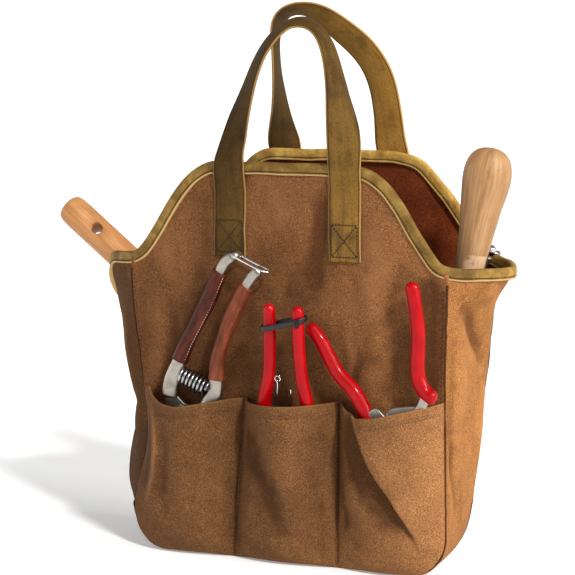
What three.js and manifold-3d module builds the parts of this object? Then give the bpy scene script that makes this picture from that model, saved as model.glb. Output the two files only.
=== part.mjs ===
// A waxed-canvas garden tool bag, standing on its base with its tools in place.
// Front and back panels, a bellied gusset strip, a three-pocket panel, a bound mouth and two
// webbing handles; five hand tools stand in the pockets and in the main compartment.
// Millimetres, +Z up, +X to the right of the pocket side, -Y towards the pocket side.
// The origin is the middle of the base.
import * as THREE from "three";
import { mergeVertices } from "three/addons/utils/BufferGeometryUtils.js";
import Module from "manifold-3d";

const wasm = await Module();
wasm.setup();

// ---- driving dimensions of the bag ----
const GAP = 0.3; // clearance kept between touching pieces
const CLOTH = 2; // canvas with its wax and turned edges
const HALF_W = 146; // middle to side seam
const HALF_D = 60; // middle to the outer face of a panel
const SIDE_H = 257; // height of the mouth at the side seams
const FRONT_H = 340; // height of the front panel's raised middle
const BACK_H = 344;
const PLATEAU = 62; // half width of the raised middle
const CORNER_R = 46; // bottom corners
const WAIST = 7; // how far the side seams draw in at mid height
const BELLY = { left: 44, right: 32 }; // how far the gusset bellies out at the mouth
const DIP = { left: 41, right: 9 }; // how far the gusset's edge sags between its seams
const POCKET_H = 138;
const POCKET_SEAMS = [-HALF_W, -48, 48, HALF_W];
const POCKET_DEPTHS = [34, 42, 36];

// ---- driving dimensions of the handles ----
const STRAP_W = 30;
const STRAP_T = 3;
const HANDLE_X = { front: [-50, 56], back: [-53, 51] }; // middle of each sewn end
const TAB_LOW = 262; // lower end of the sewn ends
const HINGE_Z = 350; // where the free loop starts to bend
const HINGE_GAP = 5; // room for the loop to fold down past its sewn end
const STRAP_Y = HALF_D + 3.9; // middle of the strap where it leaves the binding

// ---- colours ----
const finish = (color, roughness, metalness = 0) => new THREE.MeshStandardMaterial({ color, roughness, metalness });
const canvas = finish(0x7d5433, 0.85);
const webbing = finish(0x6f5f30, 0.8);
const tape = finish(0x8f7a35, 0.75);
const steel = finish(0xb9b4a8, 0.4, 0.9);
const darkSteel = finish(0x2b2927, 0.45, 0.8);
const leather = finish(0x7a3318, 0.5);
const redGrip = finish(0xd20a12, 0.25);
const blackStrap = finish(0x111111, 0.5);
const beech = finish(0xc98a4a, 0.6);
const ash = finish(0xc9a473, 0.65);

const bag = new THREE.Group();

function add(group, name, geometry, material) {
  const mesh = new THREE.Mesh(geometry, material);
  mesh.name = name;
  group.add(mesh);
  return mesh;
}

// ---- closed surfaces from rings of points ----

function signedVolume(points, faces) {
  const cross = new THREE.Vector3();
  return faces.reduce((sum, [a, b, c]) => sum + points[a].dot(cross.crossVectors(points[b], points[c])), 0) / 6;
}

function geometryOf(points, faces) {
  const outward = signedVolume(points, faces) > 0;
  const geometry = new THREE.BufferGeometry().setFromPoints(points);
  geometry.setIndex(faces.flatMap(([a, b, c]) => (outward ? [a, b, c] : [a, c, b])));
  return geometry;
}

// Joins rings of equal length. Open stacks get an end cap each; looped ones close on themselves.
function skin(rings, looped = false) {
  const n = rings[0].length;
  const faces = [];
  const last = looped ? rings.length : rings.length - 1;
  for (let i = 0; i < last; i++) {
    const here = i * n;
    const next = ((i + 1) % rings.length) * n;
    for (let j = 0; j < n; j++) {
      const k = (j + 1) % n;
      faces.push([here + j, here + k, next + k], [here + j, next + k, next + j]);
    }
  }
  if (!looped) {
    const end = (rings.length - 1) * n;
    for (let j = 1; j < n - 1; j++) {
      faces.push([0, j + 1, j], [end, end + j, end + j + 1]);
    }
  }
  return geometryOf(rings.flat(), faces);
}

// A cloth of points surface(u, v), made solid between two offsets.
function sheet(us, vs, surface, near, far) {
  const side = (offset) => us.map((u) => vs.map((v) => surface(u, v).add(offset(u, v))));
  const grids = [side(near), side(far)];
  const points = grids.flat(2);
  const nv = vs.length;
  const at = (layer, i, j) => layer * us.length * nv + i * nv + j;
  const faces = [];
  for (let i = 0; i < us.length - 1; i++) {
    for (let j = 0; j < nv - 1; j++) {
      for (const layer of [0, 1]) {
        const [a, b, c, d] = [at(layer, i, j), at(layer, i + 1, j), at(layer, i + 1, j + 1), at(layer, i, j + 1)];
        faces.push(...(layer ? [[a, c, b], [a, d, c]] : [[a, b, c], [a, c, d]]));
      }
    }
  }
  const rim = [
    ...us.map((_, i) => [i, 0]),
    ...vs.slice(1).map((_, j) => [us.length - 1, j + 1]),
    ...us.slice(1).map((_, i) => [us.length - 2 - i, nv - 1]),
    ...vs.slice(2).map((_, j) => [0, nv - 2 - j]),
  ];
  rim.forEach(([i, j], k) => {
    const [p, q] = rim[(k + 1) % rim.length];
    faces.push([at(0, i, j), at(1, p, q), at(0, p, q)], [at(0, i, j), at(1, i, j), at(1, p, q)]);
  });
  return geometryOf(points, faces);
}

const steps = (from, to, count) => Array.from({ length: count + 1 }, (_, i) => from + ((to - from) * i) / count);
const ease = (t) => t * t * (3 - 2 * t);
const clamp01 = (t) => Math.min(1, Math.max(0, t));
const fixed = (x, y, z) => () => new THREE.Vector3(x, y, z);

// ---- booleans ----

function solidOf(geometry) {
  const bare = new THREE.BufferGeometry().setAttribute("position", geometry.getAttribute("position"));
  bare.setIndex(geometry.index);
  const merged = mergeVertices(bare, 1e-4);
  const { array } = merged.attributes.position;
  return new wasm.Manifold(new wasm.Mesh({ numProp: 3, vertProperties: array, triVerts: new Uint32Array(merged.index.array) }));
}

function geometryFrom(solid) {
  const { vertProperties, triVerts } = solid.getMesh();
  const geometry = new THREE.BufferGeometry();
  geometry.setAttribute("position", new THREE.BufferAttribute(vertProperties, 3));
  geometry.setIndex(new THREE.BufferAttribute(triVerts, 1));
  return geometry;
}

const join = (first, ...rest) => geometryFrom(rest.reduce((solid, next) => solid.add(solidOf(next)), solidOf(first)));
const cut = (first, ...rest) => geometryFrom(rest.reduce((solid, next) => solid.subtract(solidOf(next)), solidOf(first)));

// ---- the bag's shell ----

const LOW_PULL = 0.24; // how far the mouth's curve runs on level from a side seam
const HIGH_PULL = 0.5; // and from the raised middle
const waist = (z) => WAIST * Math.sin(Math.PI * clamp01((z - CORNER_R) / (SIDE_H - CORNER_R)));
const sideName = (side) => (side < 0 ? "left" : "right");

// A panel's outline: a raised middle between low shoulders, with round bottom corners.
function panelShape(height, grow = 0) {
  const w = HALF_W + grow;
  const r = CORNER_R + grow;
  const run = HALF_W - PLATEAU;
  const seam = steps(CORNER_R, SIDE_H, 8).slice(1, -1).map((z) => new THREE.Vector2(w - waist(z), z));
  const shape = new THREE.Shape();
  shape.moveTo(-w + r, -grow);
  shape.lineTo(w - r, -grow);
  shape.absarc(w - r, r - grow, r, -Math.PI / 2, 0);
  seam.forEach(({ x, y }) => shape.lineTo(x, y));
  shape.lineTo(w, SIDE_H + grow);
  shape.bezierCurveTo(w - run * LOW_PULL, SIDE_H + grow, PLATEAU + run * HIGH_PULL, height + grow, PLATEAU, height + grow);
  shape.lineTo(-PLATEAU, height + grow);
  shape.bezierCurveTo(-PLATEAU - run * HIGH_PULL, height + grow, -w + run * LOW_PULL, SIDE_H + grow, -w, SIDE_H + grow);
  seam.reverse().forEach(({ x, y }) => shape.lineTo(-x, y));
  shape.lineTo(-w, r - grow);
  shape.absarc(-w + r, r - grow, r, Math.PI, 1.5 * Math.PI);
  return shape;
}

// A flat piece standing in the XZ plane between two values of y.
function plate(shape, yLow, yHigh, curveSegments = 8) {
  const geometry = new THREE.ExtrudeGeometry(shape, { depth: yHigh - yLow, bevelEnabled: false, curveSegments });
  return geometry.rotateX(Math.PI / 2).translate(0, yHigh, 0);
}

const belly = (side, z) => BELLY[sideName(side)] * Math.pow(clamp01(z / SIDE_H), 1.5);
const sag = (side, y) => DIP[sideName(side)] * Math.cos((Math.PI * y) / (2 * HALF_D)) ** 2;

// The gusset strip's centre line in the XZ plane: down the left side, across the base, up the right.
const gussetStations = [
  ...steps(0, 1, 7).map((t) => ({ side: -1, rise: 1 - t })),
  ...steps(0, 1, 6).slice(1).map((t) => ({ side: -1, turn: t })),
  ...steps(0, 1, 6).slice(0, -1).map((t) => ({ side: 1, turn: 1 - t })),
  ...steps(0, 1, 7).map((t) => ({ side: 1, rise: t })),
];

function gussetPoint(y, { side, rise, turn }, outset = 0, lift = 0) {
  const swell = 1 - (y / HALF_D) ** 2;
  if (rise !== undefined) {
    const top = SIDE_H + lift - sag(side, y);
    const z = CORNER_R + (top - CORNER_R) * rise;
    return new THREE.Vector3(side * (HALF_W - waist(z) + outset + belly(side, z) * swell), y, z);
  }
  const angle = (turn * Math.PI) / 2;
  const z = CORNER_R * (1 - Math.sin(angle));
  const r = CORNER_R + outset + belly(side, z) * swell;
  return new THREE.Vector3(side * (HALF_W - CORNER_R + r * Math.cos(angle)), y, CORNER_R - r * Math.sin(angle));
}

function gussetSheet(halfWidth, outer, inner, lift = 0) {
  const ys = steps(-halfWidth, halfWidth, 8);
  const grid = (y, i) => gussetPoint(y, gussetStations[i], inner, lift);
  const across = (y, i) => gussetPoint(y, gussetStations[i], outer, lift).sub(grid(y, i));
  return sheet(ys, [...gussetStations.keys()], grid, fixed(0, 0, 0), across);
}

// The pocket panel stands off the front panel in three pouches, closed at the seams and the base.
function pocketDepth(x, z) {
  const i = POCKET_SEAMS.findIndex((_, k) => x <= POCKET_SEAMS[k + 1] + 1e-6);
  const t = (x - POCKET_SEAMS[i]) / (POCKET_SEAMS[i + 1] - POCKET_SEAMS[i]);
  return POCKET_DEPTHS[i] * Math.pow(Math.sin(Math.PI * clamp01(t)), 0.55) * Math.pow(z / POCKET_H, 0.35);
}

function pocketPoint(x, z) {
  const low = Math.min(z, CORNER_R);
  const reach = HALF_W - waist(z) - CORNER_R + Math.sqrt(CORNER_R ** 2 - (CORNER_R - low) ** 2);
  return new THREE.Vector3((x * reach) / HALF_W, -HALF_D - GAP - pocketDepth(x, z), z);
}

// The mouth's edge as one closed loop, anticlockwise seen from above, starting at the front left.
function mouthEdge() {
  const y = HALF_D - CLOTH / 2;
  const turn = 6; // how far short of each corner the panels' and the gusset's runs stop
  const crest = (height) => {
    const run = HALF_W - PLATEAU;
    const slope = new THREE.CubicBezierCurve(
      new THREE.Vector2(HALF_W, SIDE_H),
      new THREE.Vector2(HALF_W - run * LOW_PULL, SIDE_H),
      new THREE.Vector2(PLATEAU + run * HIGH_PULL, height),
      new THREE.Vector2(PLATEAU, height),
    ).getPoints(12).filter((p) => p.x < HALF_W - turn);
    const middle = steps(PLATEAU, -PLATEAU, 6).slice(1, -1).map((x) => new THREE.Vector2(x, height));
    return [...slope, ...middle, ...slope.map((p) => new THREE.Vector2(-p.x, p.y)).reverse()];
  };
  const side = (sign, v) => gussetPoint(v, { side: sign, rise: 1 }, -CLOTH / 2);
  const ys = steps(-y + turn, y - turn, 8);
  return new THREE.CatmullRomCurve3(
    [
      ...crest(FRONT_H).reverse().map((p) => new THREE.Vector3(p.x, -y, p.y)),
      ...ys.map((v) => side(1, v)),
      ...crest(BACK_H).map((p) => new THREE.Vector3(p.x, y, p.y)),
      ...ys.map((v) => side(-1, -v)),
    ],
    true,
  );
}

// Folded tape astride the edge: a bar swept round the mouth, with the cloth's own slot cut from it.
function bindingBar() {
  const count = 110;
  const profile = [[-3, -10], [3, -10], [3, 1], [1.5, 2.4], [-1.5, 2.4], [-3, 1]];
  const path = mouthEdge();
  const up = new THREE.Vector3(0, 0, 1);
  const rings = steps(0, 1, count).slice(0, -1).map((t) => {
    const centre = path.getPointAt(t);
    const along = path.getTangentAt(t);
    const out = new THREE.Vector3().crossVectors(along, up).normalize();
    const over = new THREE.Vector3().crossVectors(out, along).normalize();
    return profile.map(([a, b]) => centre.clone().addScaledVector(out, a).addScaledVector(over, b));
  });
  return skin(rings, true);
}

add(bag, "bag_front_panel", plate(panelShape(FRONT_H), -HALF_D, -HALF_D + CLOTH), canvas);
add(bag, "bag_back_panel", plate(panelShape(BACK_H), HALF_D - CLOTH, HALF_D), canvas);
add(bag, "bag_gusset_strip", gussetSheet(HALF_D - CLOTH - GAP, 0, -CLOTH), canvas);
add(
  bag,
  "bag_mouth_binding",
  cut(
    bindingBar(),
    plate(panelShape(FRONT_H, GAP), -HALF_D - GAP, -HALF_D + CLOTH + GAP),
    plate(panelShape(BACK_H, GAP), HALF_D - CLOTH - GAP, HALF_D + GAP),
    gussetSheet(HALF_D - CLOTH, GAP, -CLOTH - GAP, GAP),
  ),
  tape,
);

const pouches = POCKET_SEAMS.slice(0, -1).flatMap((x, i) => steps(x, POCKET_SEAMS[i + 1], 8).slice(i ? 1 : 0));
const pocketRows = [CLOTH, 6, 14, 26, 42, 66, 102, POCKET_H];
add(bag, "bag_pocket_panel", sheet(pouches, pocketRows, pocketPoint, fixed(0, 0, 0), fixed(0, -CLOTH, 0)), canvas);

// ---- the handles ----

// A flat strap along centres, each with the direction of its outer face.
function strap(stations) {
  const profile = [[-0.5, -0.5], [0.5, -0.5], [0.5, 0.5], [-0.5, 0.5]];
  return skin(
    stations.map(({ centre, along, face }) => {
      const across = new THREE.Vector3().crossVectors(face, along).normalize().multiplyScalar(STRAP_W);
      const through = face.clone().addScaledVector(along, -face.dot(along)).normalize().multiplyScalar(STRAP_T);
      return profile.map(([a, b]) => centre.clone().addScaledVector(across, a).addScaledVector(through, b));
    }),
  );
}

// A sewn end lies on the panel and steps out over the binding. front is -1 on the pocket side.
function strapTab(x, front) {
  const profile = [[TAB_LOW, 1.8], [322, 2.2], [329, 3.9], [HINGE_Z - HINGE_GAP, 3.9]];
  return strap(
    profile.map(([z, off]) => ({
      centre: new THREE.Vector3(x, front * (HALF_D + off), z),
      along: new THREE.Vector3(0, 0, 1),
      face: new THREE.Vector3(0, front, 0),
    })),
  );
}

// The free loop. turn(t) is 0 where the strap faces front and 1 where it faces away from the arch.
function strapLoop(points, front, turn) {
  const path = new THREE.CatmullRomCurve3(points.map((p) => new THREE.Vector3(...p)));
  const sideways = new THREE.Vector3(0, 1, 0);
  const stations = steps(0, 1, 34).map((t) => {
    const along = path.getTangentAt(t);
    const radial = new THREE.Vector3().crossVectors(along, sideways).normalize();
    const angle = (turn(t) * Math.PI) / 2;
    const face = new THREE.Vector3(0, front * Math.cos(angle), 0).addScaledVector(radial, Math.sin(angle));
    return { centre: path.getPointAt(t), along, face };
  });
  const foot = (x) =>
    new THREE.CylinderGeometry(STRAP_T / 2, STRAP_T / 2, STRAP_W, 12)
      .rotateZ(Math.PI / 2)
      .translate(x, front * STRAP_Y, HINGE_Z);
  return join(strap(stations), foot(points[0][0]), foot(points.at(-1)[0]));
}

const FRONT_LOOP = [
  [-50, -STRAP_Y, HINGE_Z], [-44, -58, 378], [-33, -46, 408], [-20, -34, 438], [1, -27, 454],
  [24, -34, 440], [38, -46, 410], [50, -58, 378], [56, -STRAP_Y, HINGE_Z],
];
const BACK_LOOP = [
  [-53, STRAP_Y, HINGE_Z], [-53, 56, 384], [-52, 42, 424], [-44, 32, 452], [-22, 27, 467],
  [6, 29, 457], [27, 37, 431], [42, 47, 398], [51, STRAP_Y, HINGE_Z],
];
const archTurn = (t) => ease(clamp01(Math.min(t, 1 - t) / 0.34));
const leanTurn = (t) => (t < 0.4 ? ease(clamp01(t / 0.3)) : 0.22 + 0.78 * (1 - ease(clamp01((t - 0.4) / 0.2)))) * ease(clamp01((1 - t) / 0.2));

for (const [name, front, loop, turn] of [["front", -1, FRONT_LOOP, archTurn], ["back", 1, BACK_LOOP, leanTurn]]) {
  const [left, right] = HANDLE_X[name];
  add(bag, `${name}_handle_left_tab`, strapTab(left, front), webbing);
  add(bag, `${name}_handle_right_tab`, strapTab(right, front), webbing);
  add(bag, `${name}_handle_strap`, strapLoop(loop, front, turn), webbing);
}

// ---- shared tool shapes. A tool's own frame has its pivot at the origin and its handles up. ----

const flatPath = (points) => new THREE.CatmullRomCurve3(points.map(([x, z]) => new THREE.Vector3(x, 0, z)), false, "centripetal");

// Rings round a path that lies in the XZ plane; wide and deep give the half sizes at t.
function rings(path, ts, wide, deep = wide, sides = 10) {
  const sideways = new THREE.Vector3(0, 1, 0);
  return ts.map((t) => {
    const centre = path.getPointAt(t);
    const across = new THREE.Vector3().crossVectors(sideways, path.getTangentAt(t)).normalize();
    return steps(0, 2 * Math.PI, sides).slice(0, -1).map((a) =>
      centre.clone().addScaledVector(across, wide(t) * Math.cos(a)).addScaledVector(sideways, deep(t) * Math.sin(a)),
    );
  });
}

const rod = (points, wide, deep, count = 14) => skin(rings(flatPath(points), steps(0, 1, count), wide, deep));

// A grip pulled over a tang: round outside, with a blind bore from its lower end.
function dippedGrip(points, from, radius, bore, boreTo) {
  const path = flatPath(points);
  const inside = rings(path, steps(from, boreTo, 8).reverse(), () => bore);
  const outside = rings(path, steps(from, 0.97, 12), radius);
  const tip = rings(path, [1], () => radius(1) * 0.55);
  return skin([...inside, ...outside, ...tip]);
}

// A sleeve open at both ends.
function sleeve(points, from, to, radius, bore) {
  const path = flatPath(points);
  const ts = steps(from, to, 12);
  return skin([...rings(path, ts, radius), ...rings(path, ts.slice().reverse(), () => bore)], true);
}

const pin = (radius, yLow, yHigh, x = 0, z = 0, sides = 20) =>
  new THREE.CylinderGeometry(radius, radius, yHigh - yLow, sides).translate(x, (yLow + yHigh) / 2, z);

const spline = (points) => new THREE.Shape(new THREE.SplineCurve(points.map(([x, z]) => new THREE.Vector2(x, z))).getPoints(points.length * 3));

// One half of a cutting tool: a flat head in its own layer, pivot hole included, and its tang.
function toolHalf({ layer, head, neck, tang, wide, deep, disc, hole }) {
  const [low, high] = layer;
  const arm = new THREE.Shape();
  const length = Math.hypot(...neck);
  const half = disc * 0.62;
  arm.moveTo(0, -half).lineTo(length, -half * 0.8).lineTo(length, half * 0.8).lineTo(0, half);
  const armPlate = plate(arm, low, high).rotateY(-Math.atan2(neck[1], neck[0]));
  const body = join(rod(tang, wide, deep), armPlate, pin(disc, low, high), plate(spline(head), low, high));
  return cut(body, pin(hole, -20, 20));
}

function pivotBolt(radius, headRadius, inner, outer) {
  return join(pin(radius, -outer, outer), pin(headRadius, inner, outer), pin(headRadius, -outer, -inner));
}

// A coil along X.
function coil(x0, x1, z, radius, turns, wire) {
  const perTurn = 12;
  const count = turns * perTurn;
  const ringsAlong = steps(0, 1, count).map((t) => {
    const angle = t * turns * 2 * Math.PI;
    const out = new THREE.Vector3(0, Math.cos(angle), Math.sin(angle));
    const centre = new THREE.Vector3(x0 + (x1 - x0) * t, 0, z).addScaledVector(out, radius);
    return steps(0, 2 * Math.PI, 6).slice(0, -1).map((a) =>
      centre.clone().addScaledVector(out, wire * Math.cos(a)).add(new THREE.Vector3(wire * Math.sin(a), 0, 0)),
    );
  });
  return skin(ringsAlong);
}

// A wire bent into a U that lies across the tool: both ends at x0, the bend at x1.
function wireStaple(x0, x1, z, halfY, wire) {
  const path = new THREE.CatmullRomCurve3(
    [
      [x0, halfY], [(x0 + x1) / 2, halfY], [x1 - halfY * 0.8, halfY], [x1, 0],
      [x1 - halfY * 0.8, -halfY], [(x0 + x1) / 2, -halfY], [x0, -halfY],
    ].map(([x, y]) => new THREE.Vector3(x, y, z)),
    false,
    "centripetal",
  );
  const up = new THREE.Vector3(0, 0, 1);
  return skin(
    steps(0, 1, 24).map((t) => {
      const out = new THREE.Vector3().crossVectors(path.getTangentAt(t), up).normalize();
      const centre = path.getPointAt(t);
      return steps(0, 2 * Math.PI, 8).slice(0, -1).map((a) =>
        centre.clone().addScaledVector(out, wire * Math.cos(a)).addScaledVector(up, wire * Math.sin(a)),
      );
    }),
  );
}

// lean tips a tool to the right, and forward tips it away from the bag.
function standAt(group, x, y, z, lean, forward = 0) {
  group.position.set(x, y, z);
  group.rotation.set(THREE.MathUtils.degToRad(forward), THREE.MathUtils.degToRad(lean), 0);
  bag.add(group);
}

const FRONT_LAYER = [-4, -GAP];
const BACK_LAYER = [GAP, 4];

// ---- leather-handled secateurs, in the left pocket ----
function leatherSecateurs() {
  const group = new THREE.Group();
  const left = [[-18.5, 9], [-21, 25], [-19.5, 43], [-18, 62], [-15.5, 82], [-14.3, 106], [-14.6, 132], [-12.5, 144], [-6.5, 151]];
  const right = [[17, 15], [19, 32], [16.5, 44], [11.5, 58], [9.6, 72], [9, 92], [10.2, 115], [12, 131], [15, 143], [18.5, 150]];
  const wide = (t) => (t < 0.18 ? 5.4 : t < 0.87 ? 3.6 : 4.2);
  const deep = (t) => (t < 0.18 ? 4.4 : t < 0.87 ? 3.6 : 4);
  const sleeveRadius = (t) => 6.4 + 0.5 * Math.cos(9 * t);
  const hook = [[-3, -9], [9, -9], [17, -22], [17, -40], [9, -54], [7, -52], [11, -38], [7, -22], [-3, -11]];
  const blade = [[8, -8], [-8, -8], [-17, -20], [-19, -36], [-10, -56], [-1, -60], [-4, -42], [1, -22], [8, -9]];
  const common = { wide, deep, disc: 11, hole: 3.4 };
  const hookBody = toolHalf({ ...common, layer: BACK_LAYER, head: hook, neck: [-18.5, 9], tang: left });
  const bladeBody = toolHalf({ ...common, layer: FRONT_LAYER, head: blade, neck: [17, 15], tang: right });
  add(group, "secateurs_hook_body", cut(hookBody, pin(1.8, -9, 9, -6.5, 151, 12)), steel);
  add(group, "secateurs_blade_body", bladeBody, steel);
  add(group, "secateurs_pivot_bolt", pivotBolt(3.1, 7, 4.3, 6.2), darkSteel);
  add(group, "secateurs_spring", coil(-13.2, 11.4, 33, 6.6, 7, 0.8), steel);
  add(group, "secateurs_left_leather", sleeve(left, 0.24, 0.85, sleeveRadius, 4), leather);
  add(group, "secateurs_right_leather", sleeve(right, 0.21, 0.85, sleeveRadius, 4), leather);
  add(group, "secateurs_latch_pin", pin(1.5, -4.8, 4.8, -6.5, 151, 12), steel);
  add(group, "secateurs_latch_wire", wireStaple(-6.5, 26.5, 151, 6.1, 0.9), steel);
  standAt(group, -89, -HALF_D - 14, 122, 22);
}

// ---- red snips held shut by a strap, in the middle pocket ----
function redSnips() {
  const group = new THREE.Group();
  const half = (side) => [[16, 13], [20, 26], [20, 40], [15.6, 62], [13.6, 92], [13.4, 119]].map(([x, z]) => [side * x, z]);
  const blade = (side) => [[-3, -7], [5, -7], [6, -22], [3, -44], [0, -58], [-2, -44], [-3, -24], [-5, -8]].map(([x, z]) => [side * x, z]);
  const wide = (t) => (t < 0.16 ? 4 : 2.8);
  const gripRadius = (t) => 6 - 0.5 * t;
  for (const [name, side, layer] of [["left", -1, BACK_LAYER], ["right", 1, FRONT_LAYER]]) {
    const tang = [...half(side).slice(0, -1), [side * 13.5, 104]];
    const head = blade(-side);
    const neck = [side * 16, 13];
    add(group, `snips_${name}_half`, toolHalf({ layer, head, neck, tang, wide, deep: wide, disc: 8, hole: 2.4 }), darkSteel);
    add(group, `snips_${name}_grip`, dippedGrip(half(side), 0.16, gripRadius, 4.4, 0.88), redGrip);
  }
  add(group, "snips_pivot_rivet", pivotBolt(2.1, 4.6, 4.3, 5.6), steel);
  const legs = [[-7, 74], [-6.4, 50], [-5, 26], [0, 14], [5, 26], [6.4, 50], [7, 74]];
  add(group, "snips_spring", rod(legs, () => 0.9, () => 0.9, 28), steel);
  const band = new THREE.Shape();
  band.absarc(-13.4, 0, 7.8, Math.PI / 2, 1.5 * Math.PI);
  band.absarc(13.4, 0, 7.8, -Math.PI / 2, Math.PI / 2);
  const opening = new THREE.Path();
  opening.absarc(-13.4, 0, 6.4, Math.PI / 2, 1.5 * Math.PI);
  opening.absarc(13.4, 0, 6.4, -Math.PI / 2, Math.PI / 2);
  band.holes.push(opening);
  const loop = new THREE.ExtrudeGeometry(band, { depth: 5, bevelEnabled: false, curveSegments: 8 });
  add(group, "snips_catch_band", loop.translate(0, 0, 105), blackStrap);
  standAt(group, 8, -HALF_D - 15, 104, 2, 9);
}

// ---- red pruner standing open, in the right pocket ----
function redPruner() {
  const group = new THREE.Group();
  const left = [[-12, 15], [-17, 20], [-23, 27], [-34, 36], [-45, 47], [-54, 62], [-61, 74], [-68.5, 82.5]];
  const right = [[17, 10], [26, 17], [34, 24.5], [37.5, 32], [34, 40], [28, 50], [26, 64], [26, 82], [24, 104], [20.5, 122]];
  const hook = [[-3, -8], [8, -8], [17, -16], [23, -30], [23, -44], [19, -46], [16, -34], [8, -20], [-3, -11]];
  const blade = [[8, -7], [-7, -8], [-17, -18], [-19, -32], [-11, -48], [-5, -50], [-5, -36], [2, -20], [9, -9]];
  const wide = (t) => (t < 0.2 ? 4.2 : 3);
  const gripRadius = (t) => 6.4 - 0.9 * t;
  const common = { wide, deep: wide, disc: 11, hole: 3.4 };
  const leftTang = left.slice(0, -1);
  const rightTang = right.slice(0, -1);
  add(group, "pruner_cutting_half", toolHalf({ ...common, layer: BACK_LAYER, head: blade, neck: [17, 10], tang: rightTang }), steel);
  add(group, "pruner_hook_half", toolHalf({ ...common, layer: FRONT_LAYER, head: hook, neck: [-12, 15], tang: leftTang }), steel);
  add(group, "pruner_right_grip", dippedGrip(right, 0.16, gripRadius, 4.5, 0.9), redGrip);
  add(group, "pruner_left_grip", dippedGrip(left, 0.08, gripRadius, 4.5, 0.92), redGrip);
  add(group, "pruner_pivot_bolt", pivotBolt(3.1, 7, 4.3, 6.2), darkSteel);
  standAt(group, 100, -HALF_D - 15, 124, 0);
}

// ---- long wooden-handled tools, in the main compartment ----
// A tool's own frame has the top of its handle at the origin and its working end down.
const TANG_R = 3.6;

function turnedHandle(profile, boreTop, length, neck) {
  const [neckR, neckTop] = neck;
  const bore = TANG_R + GAP;
  const outline = [[0, boreTop], [bore, boreTop], [bore, -length], [neckR, -length], [neckR, neckTop], ...profile, [0, 0]];
  return new THREE.LatheGeometry(outline.map(([r, z]) => new THREE.Vector2(r, z)), 28).rotateX(Math.PI / 2);
}

function ferrule(inner, outer, low, high) {
  const outline = [[inner, low], [outer * 0.94, low], [outer, low + 4], [outer, high], [inner, high], [inner, low]];
  return new THREE.LatheGeometry(outline.map(([r, z]) => new THREE.Vector2(r, z)), 28).rotateX(Math.PI / 2);
}

// A dished steel blade whose width lies along Y, on its tang.
function dishedBlade(top, low, halfWidth, dish, tangTop) {
  const width = (t) => halfWidth * Math.pow(Math.sin(Math.PI * (0.16 + 0.8 * t)), 0.6);
  const surface = (u, t) => new THREE.Vector3(dish * (u * u - 0.35) * Math.sin(Math.PI * (0.15 + 0.7 * t)), u * width(t), top + (low - top) * t);
  const blade = sheet(steps(-1, 1, 6), steps(0, 1, 8), surface, fixed(-0.9, 0, 0), fixed(0.9, 0, 0));
  const tang = new THREE.CylinderGeometry(TANG_R, TANG_R, tangTop - top + 12, 12).rotateX(Math.PI / 2);
  return join(tang.translate(0, 0, (tangTop + top - 12) / 2), blade);
}

function trowel() {
  const group = new THREE.Group();
  const r = 13.8;
  const profile = [[r - 1, -110], [r, -96], [r, -12], [r - 1.4, -5], [r - 4.6, -1.4]];
  const handle = turnedHandle(profile, -96, 138, [10, -112]);
  const hangingHole = pin(5, -20, 20, 0, -39, 20).rotateZ((34 * Math.PI) / 180);
  add(group, "trowel_handle", cut(handle, hangingHole), beech);
  add(group, "trowel_ferrule", ferrule(10.3, 11.8, -140, -112.5), steel);
  add(group, "trowel_blade", dishedBlade(-178, -310, 27, 11, -97), steel);
  standAt(group, -243, 0, 293, -52);
}

function transplanter() {
  const group = new THREE.Group();
  const profile = [[12.3, -100], [14.5, -74], [18.2, -42], [20.3, -22], [18.8, -10], [13, -2.6], [6, -0.4]];
  const handle = turnedHandle(profile, -92, 132, [9.6, -110]);
  add(group, "transplanter_handle", handle, ash);
  add(group, "transplanter_ferrule", ferrule(9.9, 11.4, -134, -110.5), steel);
  add(group, "transplanter_blade", dishedBlade(-166, -300, 22, 10, -93), steel);
  standAt(group, 168, -16, 356, 10.5);
}

// ---- small steel shears, latched shut, at the back right of the main compartment ----
function smallShears() {
  const group = new THREE.Group();
  const half = (side) => [[12, 10], [13, 24], [9, 50], [9, 84], [12, 100]].map(([x, z]) => [side * x, z]);
  const blade = (side) => [[-3, -7], [4, -7], [6, -22], [3, -44], [0, -56], [-2, -44], [-3, -24], [-5, -8]].map(([x, z]) => [side * x, z]);
  const wide = () => 3.2;
  for (const [name, side, layer] of [["left", -1, [GAP, 3]], ["right", 1, [-3, -GAP]]]) {
    const body = toolHalf({ layer, head: blade(-side), neck: [side * 12, 10], tang: half(side), wide, deep: wide, disc: 7, hole: 2.2 });
    const knob = new THREE.SphereGeometry(5, 12, 8).translate(side * 12, 0, 104);
    add(group, `shears_${name}_half`, join(body, knob), steel);
  }
  add(group, "shears_rivet", pivotBolt(1.9, 4, 3.3, 4.4), darkSteel);
  add(group, "shears_latch_wire", wireStaple(-12, 21, 104, 6.4, 0.9), steel);
  standAt(group, 112, 30, 170, 16);
}

leatherSecateurs();
redSnips();
redPruner();
trowel();
transplanter();
smallShears();

export default bag;
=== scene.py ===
"""A waxed-canvas garden tool bag with its tools, on a pale floor."""
import math

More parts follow.
